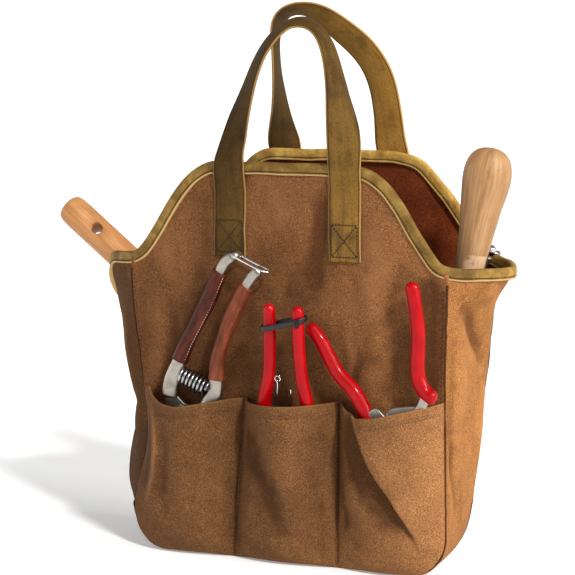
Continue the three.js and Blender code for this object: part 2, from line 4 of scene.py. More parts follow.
import bmesh
import bpy
import numpy as np
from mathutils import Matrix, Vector


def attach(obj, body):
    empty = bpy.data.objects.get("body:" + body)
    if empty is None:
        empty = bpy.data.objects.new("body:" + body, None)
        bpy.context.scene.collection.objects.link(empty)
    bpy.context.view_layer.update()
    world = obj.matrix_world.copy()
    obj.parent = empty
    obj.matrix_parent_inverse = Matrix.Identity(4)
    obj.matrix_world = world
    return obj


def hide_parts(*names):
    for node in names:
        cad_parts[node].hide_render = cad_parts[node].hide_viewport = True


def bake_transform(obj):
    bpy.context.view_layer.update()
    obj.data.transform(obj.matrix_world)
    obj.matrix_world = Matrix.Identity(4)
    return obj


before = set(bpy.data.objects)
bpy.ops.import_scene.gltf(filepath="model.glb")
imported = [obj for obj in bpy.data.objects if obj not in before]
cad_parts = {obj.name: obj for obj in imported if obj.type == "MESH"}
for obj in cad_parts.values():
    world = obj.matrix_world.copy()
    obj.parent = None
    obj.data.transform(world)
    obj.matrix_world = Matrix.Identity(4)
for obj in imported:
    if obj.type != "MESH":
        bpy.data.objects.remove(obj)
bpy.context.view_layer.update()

# -------------------------------- camera and light
AZIMUTH, ELEVATION, DISTANCE = 24, 7.5, 1.9
TARGET = Vector((-0.024, 0, 0.229))
LENS, SENSOR = 135.9, 36


def towards(azimuth, elevation):
    """The direction from the bag to a camera or a light, with both angles in degrees."""
    a, e = math.radians(azimuth), math.radians(elevation)
    return Vector((math.sin(a) * math.cos(e), -math.cos(a) * math.cos(e), math.sin(e)))


back = towards(AZIMUTH, ELEVATION)
camera = bpy.data.objects.new("camera", bpy.data.cameras.new("camera"))
camera.data.sensor_width, camera.data.lens = SENSOR, LENS
camera.data.clip_start, camera.data.clip_end = 0.05, 2000
camera.location = TARGET + back * DISTANCE
camera.rotation_mode = "QUATERNION"
camera.rotation_quaternion = (-back).to_track_quat("-Z", "Y")
bpy.context.collection.objects.link(camera)
scene = bpy.context.scene
scene.camera = camera
scene.view_settings.view_transform = "Standard"
scene.view_settings.look = "None"


def sun(name, azimuth, elevation, strength, angle, colour):
    light = bpy.data.lights.new(name, "SUN")
    light.energy, light.angle, light.color = strength, math.radians(angle), colour
    obj = bpy.data.objects.new(name, light)
    obj.rotation_mode = "QUATERNION"
    obj.rotation_quaternion = towards(azimuth, elevation).to_track_quat("Z", "Y")
    bpy.context.collection.objects.link(obj)


sun("key", 52, 38, 2.7, 6, (1, 0.975, 0.94))
sun("side", 88, 24, 2.1, 22, (1, 0.98, 0.95))
sun("fill", -20, 40, 0.12, 50, (0.94, 0.97, 1))
world = bpy.data.worlds.new("studio")
world.use_nodes = True
world.node_tree.nodes["Background"].inputs[0].default_value = (0.97, 0.98, 1, 1)
world.node_tree.nodes["Background"].inputs[1].default_value = 0.27
scene.world = world


# -------------------------------- node helpers
class Look:
    """A small material builder: every method returns an output socket."""

    def __init__(self, name):
        self.mat = bpy.data.materials.new(name)
        self.mat.use_nodes = True
        self.tree = self.mat.node_tree
        self.shader = self.tree.nodes["Principled BSDF"]
        self.coords = {}

    def node(self, kind, inputs=(), out=0, **props):
        n = self.tree.nodes.new(kind)
        for key, value in props.items():
            setattr(n, key, value)
        for key, value in dict(inputs).items():
            if isinstance(value, bpy.types.NodeSocket):
                self.tree.links.new(value, n.inputs[key])
            elif value is not None:
                n.inputs[key].default_value = value
        return n.outputs[out]

    def where(self, kind="Object"):
        if kind not in self.coords:
            self.coords[kind] = self.node("ShaderNodeTexCoord", out=kind)
        return self.coords[kind]

    def stretch(self, vector, scale):
        return self.node("ShaderNodeMapping", {"Vector": vector, "Scale": scale})

    def noise(self, scale, detail=3, rough=0.55, distort=0.0, vector=None):
        inputs = {"Vector": vector or self.where(), "Scale": scale, "Detail": detail}
        inputs |= {"Roughness": rough, "Distortion": distort}
        return self.node("ShaderNodeTexNoise", inputs)

    def cells(self, scale):
        return self.node("ShaderNodeTexVoronoi", {"Vector": self.where(), "Scale": scale}, feature="F1")

    def wave(self, scale, distort, detail):
        inputs = {"Vector": self.where(), "Scale": scale, "Distortion": distort}
        inputs |= {"Detail": detail, "Detail Scale": 1.5}
        return self.node("ShaderNodeTexWave", inputs, wave_type="BANDS", bands_direction="X")

    def math(self, op, a, b=None, clamp=False):
        return self.node("ShaderNodeMath", {0: a, 1: b}, operation=op, use_clamp=clamp)

    def plus(self, a, b):
        return self.math("ADD", a, b)

    def times(self, a, b, clamp=False):
        return self.math("MULTIPLY", a, b, clamp)

    def span(self, value, low, high, to_low=0.0, to_high=1.0):
        return self.node("ShaderNodeMapRange", {0: value, 1: low, 2: high, 3: to_low, 4: to_high}, clamp=True)

    def mix(self, fac, a, b, mode="MIX"):
        n = self.tree.nodes.new("ShaderNodeMix")
        n.data_type, n.blend_type = "RGBA", mode
        for index, value in ((0, fac), (6, a), (7, b)):
            if isinstance(value, bpy.types.NodeSocket):
                self.tree.links.new(value, n.inputs[index])
            else:
                n.inputs[index].default_value = value if index == 0 else (*value[:3], 1)
        return n.outputs[2]

    def shade(self, colour, amount):
        """Multiplies a colour by the same amount in all three channels."""
        grey = self.node("ShaderNodeCombineColor", {0: amount, 1: amount, 2: amount})
        return self.mix(1.0, colour, grey, "MULTIPLY")

    def ramp(self, fac, stops):
        n = self.tree.nodes.new("ShaderNodeValToRGB")
        self.tree.links.new(fac, n.inputs[0])
        while len(n.color_ramp.elements) < len(stops):
            n.color_ramp.elements.new(0.5)
        for element, (at, colour) in zip(n.color_ramp.elements, stops):
            element.position, element.color = at, (*colour[:3], 1)
        return n.outputs[0]

    def split(self, vector):
        n = self.tree.nodes.new("ShaderNodeSeparateXYZ")
        self.tree.links.new(vector, n.inputs[0])
        return n.outputs

    def attribute(self, name):
        return self.node("ShaderNodeAttribute", out="Fac", attribute_name=name)

    def bump(self, height, strength, distance, normal=None):
        inputs = {"Height": height, "Strength": strength, "Distance": distance, "Normal": normal}
        return self.node("ShaderNodeBump", inputs)

    def finish(self, colour=None, roughness=0.5, normal=None, **constants):
        for key, value in (("Base Color", colour), ("Roughness", roughness), ("Normal", normal)):
            if isinstance(value, bpy.types.NodeSocket):
                self.tree.links.new(value, self.shader.inputs[key])
            elif value is not None:
                self.shader.inputs[key].default_value = (*value, 1) if key == "Base Color" else value
        for key, value in constants.items():
            self.shader.inputs[key.replace("_", " ")].default_value = value
        return self.mat


def srgb(r, g, b):
    return tuple((c / 255 / 12.92) if c <= 10 else ((c / 255 + 0.055) / 1.055) ** 2.4 for c in (r, g, b))


def scaled(colour, factor, lift=0.0):
    return tuple(min(1, c * factor + lift) for c in colour)


# -------------------------------- numeric helpers, in millimetres
LATTICE = 61  # cells before the noise repeats
_lattices = {}


def noise2(u, v, seed=0):
    """Smooth noise between -1 and 1; every seed has its own lattice."""
    if seed not in _lattices:
        _lattices[seed] = np.random.default_rng(seed).uniform(-1, 1, (LATTICE, LATTICE))
    iu, iv = np.floor(u).astype(int), np.floor(v).astype(int)
    su, sv = ease(u - iu), ease(v - iv)
    a, b, c, d = (_lattices[seed][(iu + i) % LATTICE, (iv + j) % LATTICE] for j in (0, 1) for i in (0, 1))
    return (a * (1 - su) + b * su) * (1 - sv) + (c * (1 - su) + d * su) * sv


def smooth_table(z, zs, values):
    """Values at z from a short table, with its corners rounded off."""
    return sum(np.interp(z + d, zs, values) for d in (-12, -8, -4, 0, 4, 8, 12)) / 7


def fbm(u, v, seed=0, octaves=3):
    return sum(0.5**k * noise2(u * 2**k + 7.3 * k, v * 2**k + 3.1 * k, seed + k) for k in range(octaves))


def ease(t):
    t = np.clip(t, 0, 1)
    return t * t * (3 - 2 * t)


def run_length(points):
    """Distance along a line of points, from 0 at its first one."""
    return np.r_[0, np.cumsum(np.linalg.norm(np.diff(points, axis=0), axis=1))]


def nearest(x, z, points):
    """For each place: its distance from a line, its side of it, and the share of the way along the line."""
    pts = np.array(points, float)
    lengths = run_length(pts)
    best, side, share = np.full(np.shape(x), 1e9), np.zeros(np.shape(x)), np.zeros(np.shape(x))
    for p, q, s in zip(pts[:-1], pts[1:], lengths):
        d = q - p
        length = np.linalg.norm(d)
        t = np.clip(((x - p[0]) * d[0] + (z - p[1]) * d[1]) / length**2, 0, 1)
        dist = np.hypot(x - p[0] - t * d[0], z - p[1] - t * d[1])
        near = dist < best
        best = np.where(near, dist, best)
        side = np.where(near, np.sign((z - p[1]) * d[0] - (x - p[0]) * d[1]), side)
        share = np.where(near, (s + t * length) / lengths[-1], share)
    return best, side, share


def fold(x, z, points, width, height):
    """A soft ridge (or, with height below 0, a valley) along a line of points, fading out at both ends."""
    dist, _, share = nearest(x, z, points)
    return height * np.exp(-((dist / width) ** 2)) * np.sin(np.pi * np.clip(share, 0.02, 0.98)) ** 0.6


def folds(x, z, marks):
    """The sum of several folds. Each mark is (points, width, height)."""
    return sum((fold(x, z, *mark) for mark in marks), np.zeros(np.shape(x)))


def crease(x, z, points, lip, valley):
    """A fold that hangs over itself: raised to the right of a line of points, sunk to its left."""
    dist, side, share = nearest(x, z, points)
    d = dist * side
    step = 0.5 + 0.5 * np.tanh(d / 1.3)
    raised = lip * step * np.exp(-((np.maximum(d, 0) / 26) ** 1.5))
    sunk = valley * (1 - step) * np.exp(-((np.minimum(d, 0) / 9) ** 2))
    return (raised - sunk) * ease(share / 0.1) * ease((0.98 - share) / 0.3)


def bell(count):
    """Weights that sum to 1, highest in the middle."""
    weights = np.exp(-np.linspace(-2, 2, count) ** 2)
    return weights / weights.sum()


def smoothed(rows, count):
    """Each row averaged with its neighbours, with the first and last rows held."""
    half = count // 2
    held = np.vstack([rows[:1].repeat(half, 0), rows, rows[-1:].repeat(half, 0)])
    return sum(w * held[i : i + len(rows)] for i, w in enumerate(bell(count)))


def along(points, count, closed=False, per=24):
    """Points spaced evenly along a smooth curve through the given ones."""
    p = np.array(points, float)
    n = len(p)
    ext = np.vstack([p[-1:], p, p[:2]]) if closed else np.vstack([2 * p[0] - p[1], p, 2 * p[-1] - p[-2]])
    out = []
    for i in range(n if closed else n - 1):
        p0, p1, p2, p3 = ext[i : i + 4]
        t1 = max(np.linalg.norm(p1 - p0) ** 0.5, 1e-6)
        t2 = t1 + max(np.linalg.norm(p2 - p1) ** 0.5, 1e-6)
        t3 = t2 + max(np.linalg.norm(p3 - p2) ** 0.5, 1e-6)
        t = np.linspace(t1, t2, per, endpoint=False)[:, None]
        a1 = (t1 - t) / t1 * p0 + t / t1 * p1
        a2 = (t2 - t) / (t2 - t1) * p1 + (t - t1) / (t2 - t1) * p2
        a3 = (t3 - t) / (t3 - t2) * p2 + (t - t2) / (t3 - t2) * p3
        b1 = (t2 - t) / t2 * a1 + t / t2 * a2
        b2 = (t3 - t) / (t3 - t1) * a2 + (t - t1) / (t3 - t1) * a3
        out.append((t2 - t) / (t2 - t1) * b1 + (t - t1) / (t2 - t1) * b2)
    dense = np.vstack([*out, p[:1] if closed else p[-1:]])
    s = run_length(dense)
    at = np.linspace(0, s[-1], count + 1)[:-1] if closed else np.linspace(0, s[-1], count)
    return np.stack([np.interp(at, s, dense[:, k]) for k in range(dense.shape[1])], 1)


def unit(v):
    return v / np.maximum(np.linalg.norm(v, axis=-1, keepdims=True), 1e-12)


def tangents(p, closed=False):
    return unit(np.roll(p, -1, 0) - np.roll(p, 1, 0)) if closed else unit(np.gradient(p, axis=0))


# -------------------------------- mesh helpers
def add_mesh(name, mesh, mat):
    """Links a smooth-shaded mesh into the scene as an object."""
    mesh.polygons.foreach_set("use_smooth", [True] * len(mesh.polygons))
    if mat:
        mesh.materials.append(mat)
    obj = bpy.data.objects.new(name, mesh)
    bpy.context.collection.objects.link(obj)
    return obj


def point_values(mesh, name, values):
    """Stores one number at every vertex, for a material to read."""
    mesh.attributes.new(name, "FLOAT", "POINT").data.foreach_set("value", values.astype(np.float32).ravel())


def thicken(obj, thickness, offset=-1):
    """Gives a sheet its thickness in mm: inwards for an offset of -1, to both sides for 0."""
    sheet = obj.modifiers.new("thickness", "SOLIDIFY")
    sheet.thickness, sheet.offset = thickness / 1000, offset


def bevel_edges(obj, width, segments):
    """Rounds an object's edges over a width in mm."""
    edge = obj.modifiers.new("edge", "BEVEL")
    edge.width, edge.segments = width / 1000, segments
    return edge


def grid(name, P, uv=None, wrap=(False, False), flip=False, caps=False, wear_and_shade=None, mat=None):
    """A quad mesh over points in mm. uv is in metres, one row and column longer where the grid wraps."""
    nu, nv = P.shape[:2]
    mu, mv = nu - (not wrap[0]), nv - (not wrap[1])
    I, J = np.meshgrid(np.arange(mu), np.arange(mv), indexing="ij")
    corners = [(I, J), (I + 1, J), (I + 1, J + 1), (I, J + 1)]
    if flip:
        corners.reverse()
    faces = np.stack([(i % nu) * nv + (j % nv) for i, j in corners], -1).reshape(-1, 4)
    verts = P.reshape(-1, 3) / 1000
    rows = faces.tolist()
    if caps:
        ends = [list(range(nv)), list(range((nu - 1) * nv, nu * nv))]
        ends[0 if not flip else 1].reverse()
        rows += ends
    me = bpy.data.meshes.new(name)
    me.from_pydata(verts.tolist(), [], rows)
    if uv is None:
        uv = np.zeros((nu + wrap[0], nv + wrap[1], 2))
        uv[..., 0] = np.arange(nu + wrap[0])[:, None] / 1000
        uv[..., 1] = np.arange(nv + wrap[1])[None] / 1000
    layer = me.uv_layers.new(name="cloth")
    loops = np.stack([uv[i, j] for i, j in corners], 2).reshape(-1, 2)
    if caps:
        extra = np.vstack([uv[0, :nv], uv[nu - 1, :nv]])
        loops = np.vstack([loops, extra])
    layer.data.foreach_set("uv", loops.astype(np.float32).ravel())
    if wear_and_shade is not None:
        point_values(me, "wear_and_shade", wear_and_shade)
    me.update()
    return add_mesh(name, me, mat)


def sweep(name, centres, side, up, profile, mat, closed=False):
    """A closed profile (N x 2, or one per station) carried along centres by two direction fields."""
    prof = np.broadcast_to(profile, (len(centres), *np.shape(profile)[-2:]))
    P = centres[:, None] + side[:, None] * prof[..., :1] + up[:, None] * prof[..., 1:]
    n = len(centres) + closed
    c = np.vstack([centres, centres[:1]]) if closed else centres
    s = run_length(c)
    edge = prof[len(prof) // 2]
    ring = run_length(np.vstack([edge, edge[:1]]))
    uv = np.zeros((n, prof.shape[1] + 1, 2))
    uv[..., 0], uv[..., 1] = s[:, None] / 1000, ring[None] / 1000
    obj = grid(name, P, uv, wrap=(closed, True), caps=not closed, mat=mat)
    outward(obj)
    return obj


def outward(obj):
    bm = bmesh.new()
    bm.from_mesh(obj.data)
    bmesh.ops.recalc_face_normals(bm, faces=bm.faces)
    bm.to_mesh(obj.data)
    bm.free()


def disc_profile(n):
    a = np.linspace(0, 2 * np.pi, n, endpoint=False)
    return np.stack([np.cos(a), np.sin(a)], 1)


class Tool:
    """Places local tool points (pivot or handle top at the origin) in the row frame."""

    def __init__(self, at, lean, forward=0.0):
        l, f = math.radians(lean), math.radians(forward)
        ry = np.array([[math.cos(l), 0, math.sin(l)], [0, 1, 0], [-math.sin(l), 0, math.cos(l)]])
        rx = np.array([[1, 0, 0], [0, math.cos(f), -math.sin(f)], [0, math.sin(f), math.cos(f)]])
        self.r, self.t = rx @ ry, np.array(at, float)

    def __call__(self, p):
        return np.asarray(p, float) @ self.r.T + self.t

    def turn(self, v):
        return np.asarray(v, float) @ self.r.T


def local_frame(tool, pts):
    """Centre line, sideways and depth directions of a path in a tool's XZ plane."""
    t = tangents(pts)
    across = unit(np.cross([0.0, 1.0, 0.0], t))
    return tool(pts), tool.turn(across), tool.turn(unit(np.cross(t, across)))


def flat(points):
    return np.array([[x, 0, z] for x, z in points], float)


ROUTE = 400  # places along a tool's handle, before it is cut to the stretch that is wanted


def stretch_of(points, start, end):
    """The stretch of a smooth route in a tool's plane between two shares of the way along it."""
    full = along(flat(points), ROUTE)
    return full, int(start * (ROUTE - 1)), int(end * (ROUTE - 1))


def round_end(run, length):
    """Narrows a bar to a rounded end over a length in mm."""
    return np.sqrt(np.clip(1 - (1 - np.clip(run / length, 0, 1)) ** 2, 0.0025, 1)) if length else 1.0


def bar(
    name, tool, points, wide, deep, mat, count=80, sides=28, square=1.0, round_ends=(3.0, 3.0), y=0.0,
    span=(0.0, 1.0), tip=0.0,
):
    """A rounded bar along a path in the tool's plane. Its half-widths are numbers, or functions of the share
    of the way along it. square above 1 flattens its faces, and tip lengthens its far end."""
    full, lo, hi = stretch_of(points, *span)
    kept = full[lo : hi + 1 : 6]
    if tip:
        kept = np.vstack([kept, full[hi] + unit(full[hi] - full[hi - 8]) * tip])
    pts = along(kept, count)
    pts[:, 1] += y
    s = run_length(pts)
    taper = round_end(s, round_ends[0]) * round_end(s[-1] - s, round_ends[1])
    c = disc_profile(sides)
    c = np.sign(c) * np.abs(c) ** (1 / square)
    w, d = (np.array([f(v) if callable(f) else f for v in s / s[-1]]) * taper for f in (wide, deep))
    prof = np.stack([c[None, :, 0] * w[:, None], c[None, :, 1] * d[:, None]], -1)
    return sweep(name, *local_frame(tool, pts), prof, mat)


def plate(name, tool, points, y0, y1, mat, bevel, smooth=90):
    """A flat plate in the tool's plane, cut to a smooth outline, with rounded edges."""
    shape = along(points, smooth, closed=True)
    bm = bmesh.new()
    lower = [bm.verts.new(Vector(tool([x, y0, z])) / 1000) for x, z in shape]
    face = bm.faces.new(lower)
    made = bmesh.ops.extrude_face_region(bm, geom=[face])
    push = Vector(tool.turn([0, y1 - y0, 0])) / 1000
    bmesh.ops.translate(bm, verts=[g for g in made["geom"] if isinstance(g, bmesh.types.BMVert)], vec=push)
    bmesh.ops.recalc_face_normals(bm, faces=bm.faces)
    me = bpy.data.meshes.new(name)
    bm.to_mesh(me)
    bm.free()
    obj = add_mesh(name, me, mat)
    edge = bevel_edges(obj, bevel, 3)
    edge.limit_method, edge.angle_limit, edge.harden_normals = "ANGLE", math.radians(50), True
    return obj


def lathe(name, tool, profile, mat, axis="z", centre=(0, 0, 0), sides=64, wobble=None, count=None):
    """A turned piece: profile is (radius, height) pairs along the tool's own Z or Y axis."""
    prof = np.array(profile, float)
    if count:
        prof = along(prof, count)
    a = np.linspace(0, 2 * np.pi, sides, endpoint=False)
    r, h = prof[:, :1], prof[:, 1:]
    rr = np.broadcast_to(r, (len(prof), sides)).copy()
    if wobble is not None:
        rr += wobble(h, a[None])
    x, y = rr * np.cos(a), rr * np.sin(a)
    hh = np.broadcast_to(h, x.shape)
    local = np.stack([x, y, hh] if axis == "z" else [x, hh, y], -1) + np.array(centre, float)
    s = run_length(prof)
    uv = np.zeros((len(prof), sides + 1, 2))
    uv[..., 0], uv[..., 1] = s[:, None] / 1000, np.linspace(0, 1, sides + 1)[None] * 0.08
    obj = grid(name, tool(local), uv, wrap=(False, True), caps=True, mat=mat)
    outward(obj)
    return obj


def wire(name, pts, radius, mat, closed=False, sides=12):
    """A round wire along any 3-D path in the row frame."""
    t = tangents(pts, closed)
    ref = np.broadcast_to([0.0, 0.0, 1.0], t.shape)
    side = np.cross(t, ref)
    weak = np.linalg.norm(side, axis=1) < 0.2
    side[weak] = np.cross(t[weak], [0.0, 1.0, 0.0])
    side = unit(side)
    for i in range(1, len(side)):  # carry the frame along so that it never flips
        v = side[i - 1] - t[i] * (side[i - 1] @ t[i])
        side[i] = v / np.linalg.norm(v)
    return sweep(name, pts, side, unit(np.cross(side, t)), disc_profile(sides) * radius, mat, closed)


def stitches(name, runs, body, mat):
    """Small padded thread stitches. Each run is (points, normals, length, gap, radius), in mm."""
    rings, n = 5, 6
    ring = disc_profile(n)
    verts, faces = [], []
    count = 0
    for pts, normals, length, gap, radius in runs:
        s = run_length(pts)
        starts = np.arange(gap / 2, s[-1] - length, length + gap)
        for a in starts:
            ends = [np.array([np.interp(q, s, pts[:, k]) for k in range(3)]) for q in (a, a + length)]
            nrm = unit(np.array([np.interp(a + length / 2, s, normals[:, k]) for k in range(3)]))
            d = ends[1] - ends[0]
            half = np.linalg.norm(d) / 2
            d = d / (2 * half)
            side = unit(np.cross(d, nrm))
            mid = (ends[0] + ends[1]) / 2
            for q in np.linspace(-1, 1, rings):
                r = radius * math.sqrt(max(0.06, 1 - q**2))
                lift = radius * 0.75 * (1 - q * q)
                c = mid + d * half * q + nrm * (lift - 0.1)
                verts.append(c + side * ring[:, :1] * r + nrm * ring[:, 1:] * r * 0.8)
            for i in range(rings - 1):
                near, far = count + i * n, count + (i + 1) * n
                for j in range(n):
                    k = (j + 1) % n
                    faces.append([near + j, near + k, far + k, far + j])
            faces.append(list(range(count + n - 1, count - 1, -1)))
            faces.append(list(range(count + (rings - 1) * n, count + rings * n)))
            count += rings * n
    me = bpy.data.meshes.new(name)
    me.from_pydata((np.vstack(verts) / 1000).tolist(), [], faces)
    obj = add_mesh(name, me, mat)
    outward(obj)
    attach(obj, body)
    return obj


# -------------------------------- materials
WEAVE, TWILL, RIB = 0.00085, 0.0011, 0.0009  # pitch of the canvas, the webbing and the tape, in metres


def ridges(m, along_it, pitch):
    """A sine wave of the given pitch along a coordinate."""
    return m.math("SINE", m.times(along_it, 2 * math.pi / pitch))


def canvas(name, dark, mid, light, speck=0.8, painted_light_levels=(0.74, 1.64, 3.0)):
    """Waxed cotton duck: fine salt-and-pepper grain, pale scuffed ridges, painted shade in creases and a
    plain weave. painted_light_levels sets a painted light over it: low at -X, high at +X, and the power of
    the rise between.
    """
    m = Look(name)
    cloth = m.where("UV")
    broad = m.noise(7, 3, 0.55, 0.5)
    patch = m.noise(38, 4, 0.6, 0.3)
    tone = m.plus(m.times(broad, 0.6), m.times(patch, 0.4))
    colour = m.ramp(tone, [(0.3, dark), (0.5, mid), (0.72, light)])
    across = m.split(m.where())[0]
    low, high, power = painted_light_levels
    # painted light: darker towards -X, brighter towards +X
    painted_light = m.plus(low, m.times(high - low, m.math("POWER", m.span(across, -0.14, 0.16), power)))
    grain = m.noise(980, 2, 0.75)
    colour = m.shade(colour, m.span(grain, 0.32, 0.68, 0.45, 1.6))
    # slubs of bare cotton that show through the wax
    fleck = m.noise(820, 2, 0.9, 0.2)
    worn = m.times(m.span(fleck, 0.6, 0.68), m.span(patch, 0.3, 0.65, 0.35, 1.0), clamp=True)
    colour = m.mix(m.times(worn, speck), colour, scaled(light, 2.3, 0.03))
    colour = m.shade(colour, painted_light)
    # folds: ridges rub pale and painted light turns pale patches; valleys and painted shadows get a painted
    # shade
    wear_and_shade = m.attribute("wear_and_shade")
    colour = m.mix(m.span(wear_and_shade, 0.15, 1.0, 0.0, 0.4), colour, scaled(light, 1.4, 0.01))
    painted_shade_colour = tuple(c * k for c, k in zip(dark, (0.32, 0.24, 0.2)))
    colour = m.mix(m.span(wear_and_shade, -0.08, -1.0, 0.0, 0.66), colour, painted_shade_colour)
    # thin pale handling marks
    vein = m.noise(26, 4, 0.55, 1.2)
    line = m.math("ABSOLUTE", m.math("SUBTRACT", vein, 0.5))
    mark = m.times(m.span(line, 0.004, 0.0), m.span(m.noise(19, 2), 0.6, 0.7), clamp=True)
    colour = m.mix(m.times(mark, 0.4), colour, scaled(light, 1.9, 0.04))
    x, y, _ = m.split(cloth)
    weave = m.times(ridges(m, x, WEAVE), ridges(m, y, WEAVE))
    slub = m.plus(m.times(weave, 0.4), m.times(grain, 1.6))
    normal = m.bump(slub, 0.55, 0.0004)
    normal = m.bump(m.noise(130, 4, 0.6), 0.3, 0.0009, normal)
    normal = m.bump(m.noise(30, 3, 0.55, 0.6), 0.22, 0.003, normal)
    rough = m.span(m.plus(patch, m.times(grain, 0.4)), 0.45, 0.9, 0.7, 0.92)
    return m.finish(colour, rough, normal, Specular_IOR_Level=0.1)


DARK, MID, LIGHT = srgb(103, 67, 38), srgb(120, 79, 46), srgb(137, 92, 56)
# the front keeps the default painted light, darker towards -X and brighter towards +X
canvas_front = canvas("waxed_canvas_front", DARK, MID, LIGHT)
# the gusset's painted shade: its left side much darker than its right
canvas_side = canvas(
    "waxed_canvas_side", srgb(128, 84, 44), srgb(152, 101, 55), srgb(172, 119, 68), painted_light_levels=(0.26, 0.97, 1.0),
)
canvas_seam = canvas("waxed_canvas_seam", srgb(44, 25, 12), srgb(60, 35, 18), srgb(82, 50, 28), 0.2)
# the pocket's painted light: brighter towards its right
canvas_pocket = canvas(
    "waxed_canvas_pocket", srgb(96, 64, 36), srgb(113, 76, 45), srgb(131, 91, 54), painted_light_levels=(0.8, 1.8, 5.0),
)
canvas_inside = canvas("waxed_canvas_inside", srgb(64, 24, 9), srgb(104, 46, 19), srgb(136, 68, 34), 0.25)


HALF_STRAP = 14.5  # half the webbing's width, in mm


def webbing(name, base, dark, pale, painted_light_levels):
    """A strap folded from waxed canvas. The cloth's second coordinate runs across it, from its middle.
    painted_light_levels holds a painted light and shade: its brightness at the left and the right, then at
    the foot and above it."""
    m = Look(name)
    x, y, _ = m.split(m.where("UV"))
    across = m.math("ABSOLUTE", y)
    streak = m.noise(1.0, 4, 0.6, 0.0, m.stretch(m.where("UV"), (26, 190, 1)))
    patch = m.noise(34, 4, 0.6, 0.4)
    tone = m.plus(m.times(streak, 0.4), m.times(patch, 0.6))
    colour = m.ramp(tone, [(0.32, dark), (0.52, base), (0.72, scaled(base, 1.28))])
    grain = m.noise(900, 2, 0.75)
    place = m.split(m.where())
    # painted light and shade: darker or lighter towards the left, the right, the foot and the top
    painted_light = m.times(m.span(place[0], -0.056, 0.05, *painted_light_levels[:2]), m.span(place[2], 0.3, 0.37, *painted_light_levels[2:]))
    colour = m.shade(colour, m.times(m.span(grain, 0.3, 0.7, 0.7, 1.34), painted_light))
    seam = m.span(m.math("ABSOLUTE", m.math("SUBTRACT", across, (HALF_STRAP - 1.7) / 1000)), 0.0007, 0.0002)
    colour = m.mix(m.times(seam, 0.7), colour, scaled(dark, 0.3))
    lip = m.span(across, (HALF_STRAP - 1.1) / 1000, (HALF_STRAP - 0.5) / 1000)
    colour = m.mix(m.times(lip, 0.6), colour, pale)
    twill = ridges(m, m.plus(x, m.times(y, 1.2)), TWILL)
    normal = m.bump(m.plus(m.times(twill, 0.4), m.times(grain, 1.2)), 0.45, 0.00035)
    normal = m.bump(m.noise(110, 4, 0.6), 0.3, 0.001, normal)
    return m.finish(colour, m.span(patch, 0.3, 0.7, 0.66, 0.86), normal, Specular_IOR_Level=0.12)


# the front strap's painted shade: darker on its left leg and above the foot, lighter on its right leg and at
# the foot
strap_mat = webbing(
    "olive_webbing", srgb(114, 84, 36), srgb(70, 50, 21), srgb(172, 134, 84), (0.4, 1.16, 1.12, 0.62),
)
# the back strap: a lighter copy of the same webbing as painted light, with painted shade on its left leg
back_strap_mat = webbing(
    "olive_webbing_painted_lighter", srgb(136, 100, 44), srgb(90, 64, 27), srgb(190, 150, 96), (0.24, 1.5, 1.0, 0.95),
)


def binding_look():
    m = Look("mouth_binding_tape")
    x = m.split(m.where("UV"))[0]
    patch = m.noise(55, 4, 0.6, 0.5)
    colour = m.ramp(patch, [(0.34, srgb(112, 82, 34)), (0.52, srgb(146, 112, 50)), (0.7, srgb(180, 146, 74))])
    grain = m.span(m.noise(850, 2, 0.7), 0.3, 0.7, 0.82, 1.16)
    colour = m.shade(colour, grain)
    lit = m.span(m.split(m.where())[1], -0.06, 0.06, 0.68, 1.5)
    colour = m.shade(colour, lit)
    side = m.attribute("tape")  # 0 at the crown, 1 at the tape's lower edge
    groove = m.span(m.math("ABSOLUTE", m.math("SUBTRACT", side, 0.82)), 0.07, 0.02)
    colour = m.mix(m.times(groove, 0.8), colour, srgb(48, 32, 14))
    lip = m.span(side, 0.9, 0.94)
    colour = m.mix(m.times(lip, 0.8), colour, srgb(205, 168, 112))
    ribs = ridges(m, x, RIB)
    normal = m.bump(ribs, 0.25, 0.0003)
    normal = m.bump(m.noise(150, 4, 0.6, 0.6), 0.4, 0.0012, normal)
    return m.finish(colour, 0.66, normal, Specular_IOR_Level=0.2)


def thread(name, colour):
    m = Look(name)
    twist = m.wave(900, 0.6, 1)
    shade = m.ramp(twist, [(0.0, scaled(colour, 0.62)), (1.0, colour)])
    return m.finish(shade, 0.6, m.bump(twist, 0.4, 0.0002), Specular_IOR_Level=0.35)


tape_mat = binding_look()
dark_thread = thread("dark_brown_thread", srgb(44, 26, 14))
hem_thread = thread("brown_thread", srgb(92, 55, 30))
pale_thread = thread("pale_thread", srgb(222, 196, 170))


def metal(name, base, rough, fine, tarnish=None):
    m = Look(name)
    brush = m.noise(1.0, 4, 0.65, 0.0, m.stretch(m.where(), (260, 260, 1500)))
    blot = m.noise(70, 5, 0.65, 0.6)
    colour = m.ramp(blot, [(0.3, scaled(base, 0.72)), (0.55, base), (0.75, scaled(base, 1.12))])
    if tarnish:
        colour = m.mix(m.span(m.noise(42, 5, 0.7, 0.8), 0.56, 0.74, 0.0, 0.7), colour, tarnish)
    pits = m.noise(700, 3, 0.7)
    normal = m.bump(m.plus(m.times(brush, 0.5), m.times(pits, 0.5)), fine, 0.00025)
    grade = m.span(m.plus(blot, m.times(brush, 0.4)), 0.4, 0.95, rough * 0.75, min(1, rough * 1.3))
    return m.finish(colour, grade, normal, Metallic=1.0, Specular_IOR_Level=0.5)


forged = metal("satin_forged_steel", srgb(174, 167, 157), 0.36, 0.35, srgb(108, 99, 88))
spring_mat = metal("spring_steel", srgb(176, 176, 176), 0.24, 0.15)
blackened = metal("blackened_steel", srgb(52, 50, 48), 0.36, 0.3, srgb(84, 62, 44))
blade_mat = metal("ground_blade_steel", srgb(160, 160, 156), 0.32, 0.4, srgb(96, 84, 70))
chrome_mat = metal("bright_plated_steel", srgb(232, 232, 230), 0.12, 0.08)
spade_mat = metal("worn_stainless_steel", srgb(188, 186, 180), 0.34, 0.4, srgb(112, 96, 78))


